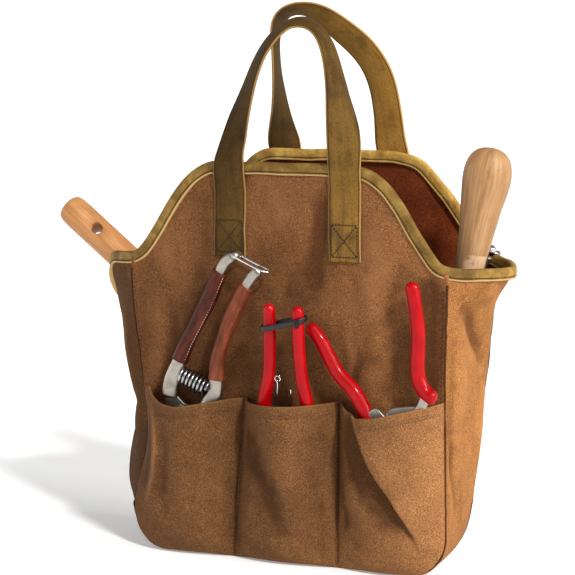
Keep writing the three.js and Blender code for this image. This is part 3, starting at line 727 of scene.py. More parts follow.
def leather_look(name, dark, mid, light):
    m = Look(name)
    broad = m.noise(38, 5, 0.6, 0.7)
    streak = m.noise(1.0, 4, 0.6, 0.4, m.stretch(m.where("UV"), (45, 260, 1)))
    tone = m.plus(m.times(broad, 0.5), m.times(streak, 0.5))
    colour = m.ramp(tone, [(0.34, dark), (0.5, mid), (0.68, light)])
    pore = m.span(m.cells(1500), 0.0, 0.32)
    colour = m.mix(m.span(pore, 0.45, 0.0, 0.0, 0.5), colour, scaled(dark, 0.45))
    normal = m.bump(pore, 0.45, 0.0003)
    normal = m.bump(m.noise(160, 4, 0.6, 1.0), 0.35, 0.0009, normal)
    return m.finish(colour, m.span(broad, 0.35, 0.7, 0.3, 0.5), normal, Specular_IOR_Level=0.22)


leather_left = leather_look("mahogany_leather", srgb(36, 10, 5), srgb(64, 21, 10), srgb(100, 40, 20))
leather_right = leather_look("russet_leather", srgb(62, 26, 13), srgb(104, 48, 25), srgb(142, 74, 42))


def vinyl(name, base):
    m = Look(name)
    blot = m.noise(60, 4, 0.6, 0.5)
    colour = m.ramp(blot, [(0.35, scaled(base, 0.78)), (0.6, base), (0.8, scaled(base, 1.15, 0.01))])
    scuff = m.times(m.span(m.noise(300, 4, 0.75), 0.66, 0.78), m.span(m.noise(45, 2), 0.5, 0.65), clamp=True)
    colour = m.mix(m.times(scuff, 0.4), colour, srgb(120, 20, 18))
    normal = m.bump(m.noise(90, 3, 0.5, 0.4), 0.18, 0.0016)
    normal = m.bump(m.noise(900, 2, 0.6), 0.08, 0.0002, normal)
    gloss = {"Specular_IOR_Level": 0.1, "Coat_Weight": 0.22, "Coat_Roughness": 0.05}
    return m.finish(colour, m.span(blot, 0.3, 0.75, 0.34, 0.46), normal, **gloss)


red_vinyl = vinyl("red_dipped_vinyl", srgb(170, 0, 9))


def rubber_look():
    m = Look("black_rubber_strap")
    n = m.noise(500, 3, 0.6)
    colour = m.ramp(n, [(0.35, srgb(9, 9, 9)), (0.7, srgb(30, 29, 28))])
    return m.finish(colour, 0.36, m.bump(n, 0.25, 0.0003), Specular_IOR_Level=0.5)


rubber_mat = rubber_look()


def wood(name, dark, mid, light, bare_wood=None):
    """Straight-grained wood. The cloth coordinate's first axis runs along the grain. A colour for bare
    wood adds pits and patches where the varnish has worn away."""
    m = Look(name)
    run = m.where("UV")
    fibre = m.noise(1.0, 5, 0.62, 0.25, m.stretch(run, (26, 520, 1)))
    ray = m.noise(1.0, 3, 0.7, 0.0, m.stretch(run, (90, 2600, 1)))
    ring = m.noise(1.0, 2, 0.5, 0.6, m.stretch(run, (9, 120, 1)))
    tone = m.plus(m.times(fibre, 0.55), m.times(ring, 0.45))
    colour = m.ramp(tone, [(0.34, dark), (0.5, mid), (0.64, light)])
    colour = m.mix(m.span(ray, 0.56, 0.72, 0.0, 0.34), colour, scaled(dark, 0.6))
    dirt = m.noise(30, 5, 0.65, 0.8)
    colour = m.mix(m.span(dirt, 0.56, 0.78, 0.0, 0.5), colour, scaled(dark, 0.62))
    height = m.plus(m.times(fibre, 0.6), m.times(ray, 0.4))
    normal = m.bump(height, 0.35, 0.0005)
    if bare_wood:
        pit = m.times(m.span(m.cells(150), 0.28, 0.1), m.span(m.noise(26, 3), 0.5, 0.62), clamp=True)
        area = m.attribute("wear_and_shade")
        pit = m.times(pit, m.span(area, 0.2, 0.7))
        colour = m.mix(m.times(pit, 0.6), colour, scaled(dark, 0.45))
        bare = m.span(area, -0.25, -0.6)
        bare = m.times(bare, m.span(m.noise(85, 4, 0.6, 0.8), 0.42, 0.5), clamp=True)
        colour = m.mix(m.times(bare, 0.75), colour, bare_wood)
        normal = m.bump(m.math("SUBTRACT", 1.0, pit), 0.5, 0.0012, normal)
    return m.finish(colour, m.span(fibre, 0.3, 0.75, 0.42, 0.66), normal, Specular_IOR_Level=0.4)


beech_mat = wood("honey_beech", srgb(160, 105, 56), srgb(182, 126, 74), srgb(200, 146, 92))
ash_mat = wood("worn_ash", srgb(134, 94, 54), srgb(164, 122, 78), srgb(184, 144, 100), srgb(212, 178, 144))

# -------------------------------- the bag's measures, in millimetres
CANVAS = 1.6  # the cloth's thickness
WEAR_AND_SHADE_GAIN = 1.612  # how fast a ridge reaches its full rubbed wear and a valley its full painted shade
HALF_W, HALF_D, SIDE_H, FRONT_H, BACK_H, PLATEAU = 146, 60, 257, 340, 344, 62
LOW_PULL, HIGH_PULL = 0.24, 0.5
WAIST = {  # how far each side seam stands in, by height
    -1: ([0, 40, 54, 72, 98, 133, 160, 193, 232, 257], [0, 1, 3, 9.5, 15.5, 14, 9.5, 4.5, 0, 0]),
    1: ([0, 46, 120, 180, 257], [0, 0, 1.5, 1.5, 0]),
}
ROUND = {-1: 41.0, 1: 33.0}  # radius of each lower corner
BELLY = {  # how far the middle of each side swells out, by height
    -1: (
        [0, 30, 46, 60, 75, 98, 124, 138, 152, 166, 180, 194, 208, 224, 240, 257],
        [3, 12, 19, 21, 19, 18, 20, 24.5, 28, 32, 34.5, 36, 38, 41, 47, 50],
    ),
    1: ([0, 46, 98, 134, 160, 190, 204, 218, 232, 246, 257], [0, 2, 4, 5, 8, 10, 11, 14, 21, 32, 38]),
}
DIP = {-1: 41, 1: 2}
POCKET_H = 138
STRAP_Y, HINGE_Z, TAB_LOW = HALF_D + 3.9, 350, 262
HANDLE_X = {"front": (-50, 56), "back": (-53, 51)}


def waist(side, z):
    """How far a side seam stands in from its straight line at height z."""
    return smooth_table(z, *WAIST[side])


def crest(height):
    """Height of a panel's top edge as a function of |x|."""
    run = HALF_W - PLATEAU
    low_pull, high_pull = [HALF_W - run * LOW_PULL, SIDE_H], [PLATEAU + run * HIGH_PULL, height]
    b = np.array([[HALF_W, SIDE_H], low_pull, high_pull, [PLATEAU, height]], float)
    t = np.linspace(0, 1, 120)[:, None]
    c = (1 - t) ** 3 * b[0] + 3 * (1 - t) ** 2 * t * b[1] + 3 * (1 - t) * t**2 * b[2] + t**3 * b[3]
    c = c[::-1]
    return lambda x: np.interp(np.abs(x), np.r_[0, c[:, 0]], np.r_[height, c[:, 1]])


front_crest, back_even = crest(FRONT_H), crest(BACK_H)


def back_crest(x):
    """The back's right shoulder runs down straighter than its left one."""
    straight = np.interp(x, [PLATEAU - 8, PLATEAU + 14, HALF_W], [BACK_H, BACK_H - 8, SIDE_H + 3])
    top = np.where(x > PLATEAU - 8, 0.45 * straight + 0.55 * back_even(x), back_even(x))
    return top - 1.35 * ease((x - HALF_W + 12) / 12)


def panel_x(x0, z):
    side = np.where(x0 < 0, -1, 1)
    w = np.where(side < 0, waist(-1, z), waist(1, z))
    return x0 - side * w * (np.abs(x0) / HALF_W) ** 3


def corner(x0):
    r = np.where(np.asarray(x0) < 0, ROUND[-1], ROUND[1])
    over = np.clip(np.abs(x0) - (HALF_W - r), 0, r)
    return r - np.sqrt(r**2 - over**2)


# how strongly the base's rear edge is drawn in, by height
DRAWN_IN = [-10, 0, 15, 30, 43, 92, 134, 160, 190, 215], [1.0, 1.08, 1.2, 1.12, 1.0, 0.68, 0.42, 0.2, 0.06, 0]


def settle(P):
    """The base's rear edge has been drawn in below the bag, most of all at its right corner."""
    P = np.array(P, float)
    x, y, z = P[..., 0], P[..., 1], P[..., 2]
    rear = np.clip((y + HALF_D) / (2 * HALF_D), 0, 1.1) ** 1.7
    low = np.interp(z, *DRAWN_IN)
    P[..., 0] = x - 12 * low * rear * np.clip(x / HALF_W, 0, 1.1) ** 2
    P[..., 1] = y - 18.5 * low * rear
    return P


def edge_fade(x, z, top):
    """0 at the sewn edges of a panel, 1 away from them."""
    run = 16
    low = corner(np.clip(x, -HALF_W, HALF_W))
    return ease((HALF_W - np.abs(x)) / run) * ease((z - low) / run) * ease((top(x) - z) / run)


# folds sewn, pressed or worn into the canvas: (points, width, height)
FRONT_FOLDS = [
    ([(-124, 236), (-117, 200), (-123, 160), (-131, 128)], 9, 3.4),
    ([(-104, 226), (-108, 186), (-119, 150)], 8, -3.2),
    ([(112, 262), (95, 238), (88, 205)], 11, -3.4),
    ([(130, 256), (126, 210), (128, 150)], 13, -4.5),
    ([(37, 332), (35, 300), (30, 262), (26, 232)], 10, -3.2),
    ([(70, 255), (84, 226), (86, 180)], 12, 2.2),
    ([(-18, 320), (-24, 280), (-16, 230)], 13, -1.8),
    ([(22, 330), (16, 290), (20, 250)], 12, 1.6),
    ([(56, 215), (62, 180), (58, 150)], 4, 1.1),
    ([(-58, 240), (-20, 232), (10, 236)], 8, -1.4),
]


def front_out(x, z):
    """How far the front panel's face stands out of its flat place."""
    f = edge_fade(x, z, front_crest)
    h = 2.0 * np.cos(np.clip(x / 150, -1, 1) * np.pi / 2) * np.sin(np.pi * np.clip(z / 330, 0, 1))
    h = h + 1.5 * fbm(x / 55 + 3, z / 80, 11, 3) + 0.7 * fbm(x / 19, z / 26 + 5, 17, 2)
    h = h + folds(x, z, FRONT_FOLDS)
    return np.minimum(h * f, 4.2)


def curvature_wear_and_shade(h):
    """Ridges above 0 and valleys below, from a height field on its grid."""
    nu, nv = h.shape
    pad = np.pad(h, 2, mode="edge")
    blur = sum(pad[i : i + nu, j : j + nv] for i in range(5) for j in range(5)) / 25
    return np.tanh((h - blur) * WEAR_AND_SHADE_GAIN)


# painted shadows of the straps and tools and painted shade in hollows (below 0), and painted light on lit
# patches (above 0): (points, width, amount)
FRONT_SHADE_AND_LIGHT_MARKS = [
    ([(36, 338), (34, 305), (30, 268), (24, 226)], 15, -0.75),
    ([(-75, 322), (-75, 290), (-73, 250)], 11, -0.6),
    ([(134, 258), (132, 215), (129, 180), (129, 140)], 15, -2.0),
    ([(-114, 146), (-102, 180), (-90, 210), (-78, 242), (-68, 268)], 12, -0.95),
    ([(-84, 150), (-68, 190), (-56, 232), (-50, 258)], 13, -0.7),
    ([(0, 266), (18, 252), (28, 222)], 20, -0.5),
    ([(-30, 136), (-27, 185), (-24, 240)], 12, -0.75), ([(9, 136), (9, 190), (9, 242)], 13, -0.9),
    ([(100, 140), (104, 190), (108, 250)], 13, -0.8),
    ([(56, 140), (66, 170), (84, 190)], 9, -0.8), ([(-138, 240), (-134, 190), (-134, 140)], 7, -0.6),
    ([(-22, 318), (-10, 300), (6, 290)], 16, 0.6),
    ([(70, 300), (84, 270), (86, 230)], 14, 0.7), ([(-106, 290), (-112, 262), (-106, 232)], 12, 0.5),
]


def line_with(obj, mat):
    """Thickens a sheet inwards and gives its inner side a material of its own."""
    thicken(obj, CANVAS)
    obj.data.materials.append(mat)
    obj.modifiers["thickness"].material_offset = 1


def panel_grid(name, top, front, relief, shade_and_light_marks):
    """The front panel (front = -1) or the back one (front = 1)."""
    nu, nv = 171, 191
    x0 = HALF_W * np.sin(np.pi / 2 * np.linspace(-1, 1, nu))
    X0 = np.repeat(x0[:, None], nv, 1)
    zl, zt = corner(X0), top(X0)
    Z = zl + (zt - zl) * np.linspace(0, 1, nv)[None]
    X = panel_x(X0, Z)
    h = relief(X, Z)
    P = settle(np.stack([X, front * (HALF_D + h), Z], -1))
    # Above 0: rubbed ridges and paler cloth near the mouth; below 0: painted shade in valleys; plus the
    # painted shadows and light of the marks
    wear_and_shade = curvature_wear_and_shade(h) + 0.25 * ease((Z - zt + 30) / 30) + folds(X, Z, shade_and_light_marks)
    obj = grid(name, P, np.stack([X, Z], -1) / 1000, flip=front > 0, wear_and_shade=wear_and_shade, mat=canvas_front)
    line_with(obj, canvas_inside)
    return obj


front_panel = panel_grid("front_panel_canvas", front_crest, -1, front_out, FRONT_SHADE_AND_LIGHT_MARKS)


BACK_FOLDS = [
    ([(100, 290), (60, 215), (30, 120), (36, 40)], 12, -3),
    ([(-110, 270), (-72, 200), (-62, 110)], 12, 3),
    ([(-30, 70), (40, 52), (110, 64)], 10, 2.6),
    ([(-120, 96), (-60, 60), (-10, 44)], 9, -2.4),
]


def back_out(x, z):
    f = edge_fade(x, z, back_crest)
    h = 3.5 * np.cos(np.clip(x / 150, -1, 1) * np.pi / 2) * np.sin(np.pi * np.clip(z / 330, 0, 1))
    h = h + 2.4 * fbm(x / 60 + 9, z / 85 + 2, 31, 3) + 0.8 * fbm(x / 20, z / 27, 37, 2)
    h = h + folds(x, z, BACK_FOLDS)
    return h * f


back_panel = panel_grid("back_panel_canvas", back_crest, 1, back_out, [])


# -------------------------------- gusset
# painted shade along the gusset's fold valleys (below 0) and painted light along its fold ridges (above 0):
# (points, width, amount)
SIDE_SHADE_AND_LIGHT_MARKS = [
    ([(-54, 232), (-53, 170), (-54, 110), (-54, 50)], 7, -0.5),
    ([(-52, 240), (-30, 220), (0, 196), (30, 178)], 9, -0.5),
    ([(-50, 128), (-40, 100), (-24, 62), (-14, 36)], 9, -0.55), ([(0, 160), (14, 130), (18, 92)], 10, 0.8),
    ([(-30, 200), (-26, 150), (-28, 100)], 12, 0.4),
    ([(30, 150), (36, 110), (34, 60)], 8, -0.5),
]


def belly(side, z):
    return smooth_table(z, *BELLY[side])


def sag(side, y):
    if side < 0:
        return DIP[side] * np.exp(-((np.abs(y) / 21) ** 1.7)) * np.cos(np.pi * y / (2 * HALF_D))
    return DIP[side] * np.cos(np.pi * y / (2 * HALF_D)) ** 2


SIDE_EDGE = 57.6  # where a side's swell has died away, short of its seams


def side_points(y, side, rise):
    """Places up a side wall, at a share of the height between its lower corner and its mouth."""
    edge = np.clip(np.abs(y) / SIDE_EDGE, 0, 1)
    z = ROUND[side] + (SIDE_H - sag(side, y) - ROUND[side]) * rise
    out = HALF_W - waist(side, z) * edge**9 + belly(side, z) * (1 - edge**2)
    return np.stack([side * out, y, z], -1)


def corner_points(y, side, turn):
    """Places round a lower corner, from the wall (turn 0) to the base (turn 1)."""
    a = turn * np.pi / 2
    z = np.full_like(y, ROUND[side] * (1 - np.sin(a)))
    swell = 1 - np.clip(np.abs(y) / SIDE_EDGE, 0, 1) ** 2
    r = ROUND[side] + belly(side, z) * swell * np.cos(a)
    return np.stack([side * (HALF_W - ROUND[side] + r * np.cos(a)), y, z], -1)


RIGHT_FOLDS = [
    ([(-46, 232), (-22, 208), (2, 184), (14, 168)], 9, -6.0),
    ([(-30, 246), (0, 226), (22, 196)], 10, 2.8),
    ([(8, 165), (22, 132), (26, 90), (22, 42)], 8, 5.0),
    ([(40, 150), (42, 110), (40, 60)], 8, -5.0),
    ([(-50, 120), (-44, 84), (-32, 50)], 7, -3.2),
    ([(-40, 200), (-36, 160), (-40, 120)], 12, 3.0),
]


LEFT_FOLDS = [
    ([(-50, 120), (-30, 128), (-4, 120)], 9, -3.5),
    ([(-48, 220), (-44, 180), (-46, 140)], 9, 3.0),
    ([(-30, 100), (-24, 70), (-34, 40)], 10, 5.0),
    ([(10, 210), (20, 150), (12, 90)], 12, -5.0),
]


def gusset_grid():
    ys = np.linspace(-58.9, 58.9, 73)
    base = np.linspace(-(HALF_W - ROUND[-1]), HALF_W - ROUND[1], 60)[1:-1]
    rows = [side_points(ys, -1, rise) for rise in np.linspace(1, 0, 90)]
    rows += [corner_points(ys, -1, turn) for turn in np.linspace(0, 1, 22)[1:]]
    rows += [np.stack([np.full_like(ys, x), ys, np.zeros_like(ys)], -1) for x in base]
    rows += [corner_points(ys, 1, turn) for turn in np.linspace(1, 0, 22)[:-1]]
    rows += [side_points(ys, 1, rise) for rise in np.linspace(0, 1, 90)]
    P = np.array(rows)
    s = run_length(P[:, len(ys) // 2])
    S = np.repeat(s[:, None], len(ys), 1)
    Y = np.repeat(ys[None], len(s), 0)
    Z, X = P[..., 2], P[..., 0]
    right = X > 0
    away = ease((SIDE_EDGE - np.abs(Y)) / 14)
    up = ease((Z - 6) / 40)
    h = (1.5 * fbm(S / 62, Y / 34, 51, 2) + 0.5 * fbm(S / 21, Y / 15, 57, 2)) * away * up
    h = h + np.where(right, folds(Y, Z, RIGHT_FOLDS), folds(Y, Z, LEFT_FOLDS)) * away * up
    n = unit(np.cross(np.gradient(P, axis=1), np.gradient(P, axis=0)))
    wall = Z > 30
    outwards = np.where(wall, n[..., 0] * X, -n[..., 2])
    n = n * np.where(outwards < 0, -1, 1)[..., None]
    P = P + n * h[..., None]
    P[..., 2] = np.where(Z < 1.0, np.maximum(P[..., 2], 0.0), P[..., 2])
    # Above 0: rubbed ridges and paler cloth near the mouth; below 0: painted shade in valleys; on the right,
    # the painted shade and light of the marks
    wear_and_shade = curvature_wear_and_shade(h) + 0.3 * ease((Z - 225) / 30) + np.where(right, folds(Y, Z, SIDE_SHADE_AND_LIGHT_MARKS), 0)
    return settle(P), np.stack([S, Y], -1) / 1000, wear_and_shade


gusset_places, gusset_cloth, gusset_wear_and_shade = gusset_grid()
gusset = grid("gusset_canvas", gusset_places, gusset_cloth, wear_and_shade=gusset_wear_and_shade, mat=canvas_side)
if gusset.data.polygons[40].normal.x >= 0:
    gusset.data.flip_normals()
line_with(gusset, canvas_inside)


# -------------------------------- pockets
DIVIDERS = (-48.0, 48.0)
SEAMS = [-HALF_W, *DIVIDERS, HALF_W]
DEPTHS = [36.0, 39.0, 34.0]
RIMS = [  # height of the pocket's top edge along it
    (-146, 140), (-138, 143), (-131, 147.5), (-125, 141), (-114, 136), (-96, 134), (-74, 138), (-56, 141),
    (-48, 141), (-43, 139.5), (-20, 141.5), (20, 143), (44, 144), (49, 144.5), (58, 139.5), (74, 136),
    (92, 138.5), (118, 144), (146, 149.5),
]


def divider(x, z):
    """Moves a place on the pocket panel sideways so that its two dividing seams lean as they were sewn."""
    up = np.clip(z / POCKET_H, 0, 1.05)
    across = [-HALF_W, DIVIDERS[0], 0, DIVIDERS[1], HALF_W]
    return x + np.interp(x, across, [0, 0.5, 2.5, 1.6, 0]) + up * np.interp(x, across, [0, 11.5, 6.5, 2.4, 0])


def pocket_out(x, z):
    """How far the pocket panel's face stands off the front panel."""
    out = np.zeros(np.shape(x))
    for i, depth in enumerate(DEPTHS):
        t = np.clip((x - SEAMS[i]) / (SEAMS[i + 1] - SEAMS[i]), 0, 1)
        inside = (x >= SEAMS[i]) & (x <= SEAMS[i + 1])
        full = np.where((i == 0) & (t < 0.5), 1.0, 0.74)
        lift = depth * np.sin(np.pi * t) ** full * np.clip(z / POCKET_H, 0, 1.1) ** 0.36
        out = np.where(inside, lift, out)
    return out


POCKET_CREASE = [
    (56, 160), (63, 148), (71, 131), (85.5, 100), (96, 84), (106, 69), (114, 54), (122, 40), (133, 20),
]
POCKET_FOLDS = [
    ([(-128, 146), (-123, 104), (-122, 76), (-128, 40)], 4.5, 4.2),
    ([(-112, 124), (-109, 84), (-111, 52), (-104, 26)], 7, -3.4),
    ([(-60, 128), (-66, 90), (-58, 40)], 9, 1.6),
    ([(52, 122), (58, 92), (70, 60), (92, 30)], 9, 3.0),
    ([(56, 60), (60, 36), (74, 20)], 8, -2.6),
    ([(-34, 122), (-22, 84), (-4, 50), (2, 22)], 10, -4.2),
    ([(-4, 112), (8, 70), (14, 30)], 13, 2.4),
    ([(24, 100), (34, 70), (36, 30)], 9, -2.0),
    ([(-30, 30), (-18, 18), (10, 16)], 8, 2.0),
    ([(-112, 22), (-84, 16), (-58, 24)], 8, 2.2),
]


def pocket_relief(x, z):
    seam = np.min([np.abs(x - s) for s in SEAMS], axis=0)
    f = ease(seam / 12) * ease(z / 14)
    h = 2.0 * fbm(x / 46, z / 50 + 4, 71, 3) + 0.8 * fbm(x / 16, z / 17, 77, 2)
    h = h + folds(x, z, POCKET_FOLDS)
    h = h + crease(x, z, POCKET_CREASE, 6.5, 5.2)
    return h * f


# painted shade in the pockets' creases and on their sides turned from the light (below 0), and painted
# highlight on fold ridges (above 0): (points, width, amount)
POCKET_SHADE_AND_LIGHT_MARKS = [
    ([(58, 140), (68, 118), (80, 92), (98, 66), (114, 38)], 13, -2.0),
    ([(84, 134), (98, 104), (114, 76), (124, 52)], 11, 0.6),
    ([(-136, 132), (-134, 92), (-136, 52)], 5, -1.0),
    ([(-123, 140), (-121, 104), (-122, 76), (-126, 44)], 3, 0.9),
    ([(-34, 122), (-22, 84), (-4, 50), (2, 22)], 16, -0.8), ([(52, 120), (54, 70), (56, 24)], 10, -0.6),
    ([(-111, 120), (-108, 84), (-109, 46)], 11, -0.4),
    ([(-43, 124), (-41, 70), (-43, 16)], 10, -0.5), ([(-60, 30), (-30, 18), (10, 12)], 10, -0.4),
]


def rim_height(x):
    return np.interp(x, *zip(*RIMS))


def rim_share(x, z, drop, run):
    """0 below the pocket's rim and 1 near it: it rises over a run, from a drop below the rim."""
    return ease((z - rim_height(x) + drop) / run)


def calm_relief(x, z):
    """The pocket's relief, held flatter by the hem near its rim."""
    return pocket_relief(x, z) * (1 - 0.55 * rim_share(x, z, 14, 14))


def pocket_face(x, z):
    """Points on the pocket panel's outer face. Its hem is a folded edge that stands a little proud."""
    x, z = np.asarray(x, float), np.asarray(z, float)
    hem = 0.9 * rim_share(x, z, 10.5, 1.6)
    y = -HALF_D - 0.6 - pocket_out(x, z) - calm_relief(x, z) - hem
    return np.stack([panel_x(divider(x, z), z), y, z], -1)


def pocket_panel():
    nu, nv = 221, 95
    s = np.linspace(-1, 1, nu)
    x0 = HALF_W * (0.55 * np.sin(np.pi / 2 * s) + 0.45 * s)
    x0 = np.sort(np.r_[x0, [seam + step for seam in DIVIDERS for step in (-1.5, 0, 1.5)]])
    X = np.repeat(x0[:, None], nv, 1)
    low = corner(X)
    Z = low + (rim_height(X) - low) * np.linspace(0, 1, nv)[None]
    groove = ease((2.2 - np.min([np.abs(X - seam) for seam in DIVIDERS], axis=0)) / 2.2)
    # Above 0: rubbed ridges and a pale rim; below 0: painted shade in valleys and along the dividing seams'
    # grooves, plus the painted marks
    wear_and_shade = curvature_wear_and_shade(calm_relief(X, Z)) + folds(X, Z, POCKET_SHADE_AND_LIGHT_MARKS)
    wear_and_shade = wear_and_shade + 0.7 * rim_share(X, Z, 2.5, 2.5) - 0.15 * groove
    obj = grid(
        "pocket_panel_canvas", pocket_face(X, Z), np.stack([X, Z], -1) / 1000, wear_and_shade=wear_and_shade, mat=canvas_pocket,
    )
    thicken(obj, CANVAS)
    return obj


pocket = pocket_panel()


# -------------------------------- mouth binding
def mouth_path():
    y = HALF_D - 1.0
    xs = np.linspace(-HALF_W + 7, HALF_W - 7, 60)
    ys = np.linspace(-y + 9, y - 9, 24)
    front = np.stack([xs, np.full_like(xs, -y), front_crest(xs)], 1)
    right = side_points(ys, 1, 1.0) - [1, 0, 0]
    rear = np.stack([xs[::-1], np.full_like(xs, y), back_crest(xs[::-1])], 1)
    left = side_points(ys[::-1], -1, 1.0) + [1, 0, 0]
    p = along(np.vstack([front, right, rear, left]), 620, closed=True, per=8)
    for _ in range(2):
        p = sum(w * np.roll(p, i - 6, 0) for i, w in enumerate(bell(13)))
    return p


mouth = mouth_path()
t = tangents(mouth, True)
out_dir = unit(np.cross(t, [0.0, 0.0, 1.0]))
over = unit(np.cross(out_dir, t))
half = np.array([  # outer half of the tape, from its crown down: (out, over, share of the way down)
    [0.0, 3.0, 0.0], [1.1, 2.85, 0.08], [2.1, 2.2, 0.17], [2.75, 1.2, 0.28], [3.0, -0.1, 0.4],
    [3.0, -1.6, 0.53], [2.95, -3.1, 0.65], [2.85, -4.4, 0.75], [2.2, -5.1, 0.82], [2.6, -5.7, 0.88],
    [2.9, -6.3, 0.92], [2.85, -7.0, 0.96], [2.2, -7.5, 1.0],
])
profile = np.vstack([half, half[:0:-1] * [-1, 1, 1]])
place = np.arange(len(mouth))
prof = np.repeat(profile[None, :, :2], len(mouth), 0)
prof[..., 0] *= (1 + 0.1 * fbm(place / 21.0, 0.0 * place, 91, 3))[:, None]
prof[..., 1] += 0.5 * fbm(place / 13.0, 0.0 * place + 1, 95, 2)[:, None]
binding = sweep("mouth_binding_tape", mouth, out_dir, over, prof, tape_mat, closed=True)
point_values(binding.data, "tape", np.tile(profile[:, 2], len(mouth)))

# -------------------------------- handles
STRAPS = {  # stations up and over each handle: middle of the strap, then the direction across it
    "front": [
        (-49.0, -63.9, 350, 0.95, -0.28, -0.13), (-47.2, -59.0, 363.2, 0.93, -0.35, -0.098),
        (-44.6, -56.0, 378.6, 0.87, -0.49, -0.063), (-40.5, -53.3, 394.1, 0.77, -0.64, -0.009),
        (-37.1, -51.0, 407.4, 0.7, -0.712, 0.048), (-34.2, -47.0, 420.3, 0.675, -0.733, 0.06),
        (-31.0, -43.0, 431.5, 0.65, -0.75, 0.04), (-25.9, -39.0, 442, 0.65, -0.76, -0.02),
        (-20.6, -35.0, 450.4, 0.6, -0.79, -0.09), (-15.0, -31.5, 456.3, 0.48, -0.85, -0.18),
        (-6.9, -28.5, 461.4, 0.244, -0.923, -0.3), (2.8, -27.3, 462, -0.02, -0.96, -0.28),
        (12.3, -28.2, 457.8, -0.16, -0.985, -0.02), (21.5, -31.0, 451.8, -0.19, -0.951, 0.2),
        (28.9, -35.0, 443.6, -0.2, -0.935, 0.3), (34.8, -40.0, 433.6, -0.22, -0.92, 0.32),
        (39.9, -45.0, 422.8, -0.26, -0.91, 0.3), (43.9, -49.5, 411.7, -0.34, -0.9, 0.26),
        (47.5, -54.0, 399.7, -0.45, -0.87, 0.2), (50.9, -58.0, 386.3, -0.6, -0.78, 0.13),
        (53.8, -61.4, 371.8, -0.78, -0.6, 0.07), (55.6, -63.9, 350, -0.95, -0.3, 0),
    ],
    "back": [
        (-55.5, 63.9, 350, 0.9, 0.43, 0), (-57.0, 61.5, 361, 0.6, 0.8, 0.1),
        (-56.8, 58.0, 374, 0.3, 0.93, 0.2), (-55.9, 54.0, 386.6, 0.074, 0.946, 0.3),
        (-54.6, 49.0, 399.9, -0.084, 0.936, 0.33), (-53.5, 44.5, 413.1, -0.18, 0.93, 0.315),
        (-52.3, 40.5, 426.3, -0.2, 0.93, 0.287), (-51.0, 37.0, 438.8, -0.2, 0.935, 0.275),
        (-49.3, 34.0, 449.8, -0.1, 0.95, 0.28), (-46.4, 31.2, 459.2, 0.06, 0.965, 0.2),
        (-42.0, 29.4, 466, 0.16, 0.97, 0.02), (-35.5, 28.2, 470, 0.14, 0.957, -0.2),
        (-26.8, 27.7, 472, 0.02, 0.93, -0.34), (-17.3, 28.3, 471.6, -0.18, 0.845, -0.48),
        (-8.2, 29.8, 468.8, -0.42, 0.7, -0.55), (-0.2, 32.0, 463.6, -0.6, 0.57, -0.545),
        (8.1, 35.0, 456.3, -0.68, 0.48, -0.55), (16.6, 38.5, 448.4, -0.72, 0.41, -0.56),
        (25.0, 42.0, 440, -0.77, 0.37, -0.51), (32.0, 45.5, 431, -0.84, 0.32, -0.42),
        (37.4, 49.5, 421, -0.91, 0.26, -0.29), (40.9, 53.5, 410.4, -0.96, 0.23, -0.15),
        (42.9, 57.0, 399, -0.98, 0.19, -0.05), (44.4, 60.0, 386, -0.99, 0.15, 0),
        (45.8, 62.3, 371.5, -1, 0.08, 0), (47.5, 63.9, 350, -1, 0, 0),
    ],
}
CUPS = {
    "front": [(0, 0), (0.25, 0.3), (0.45, 0.7), (0.62, 1.5), (0.8, 1.4), (0.92, 0.5), (1, 0)],
    "back": [(0, 0), (0.3, 0.5), (0.6, 0.35), (0.85, 0.4), (1, 0)],
}


STRAP_ROWS = 330
TAB_OFF = 1.25  # how far the middle of a sewn end stands off its panel
STRAP_PROFILE = []
for a in np.linspace(-HALF_STRAP, HALF_STRAP, 31):
    rib = 0.2 * float(ease((abs(a) - 12.9) / 0.6)) - 0.25 * math.exp(-(((abs(a) - 12.6) / 0.5) ** 2))
    edge = math.sqrt(max(0.0, 1 - max(0.0, (abs(a) - 13.8) / 0.7) ** 2))
    STRAP_PROFILE.append((a, (1.05 + rib) * max(edge, 0.25)))
STRAP_PROFILE = np.array(STRAP_PROFILE + [(a, -h) for a, h in STRAP_PROFILE[::-1]])


def tab_points(x, front):
    """Centre line of a sewn end, from its lower end up to the binding."""
    relief_fn = front_out if front < 0 else back_out
    zs = np.r_[TAB_LOW, np.arange(TAB_LOW + 8, 321, 8)]
    lift = np.array([float(relief_fn(np.array(x * 1.0), np.array(z * 1.0))) for z in zs])
    low = [(x, front * (HALF_D + TAB_OFF + h), z) for z, h in zip(zs, lift)]
    return low + [(x, front * (HALF_D + off), z) for off, z in ((2.6, 326), (4.3, 333), (4.5, 341))]


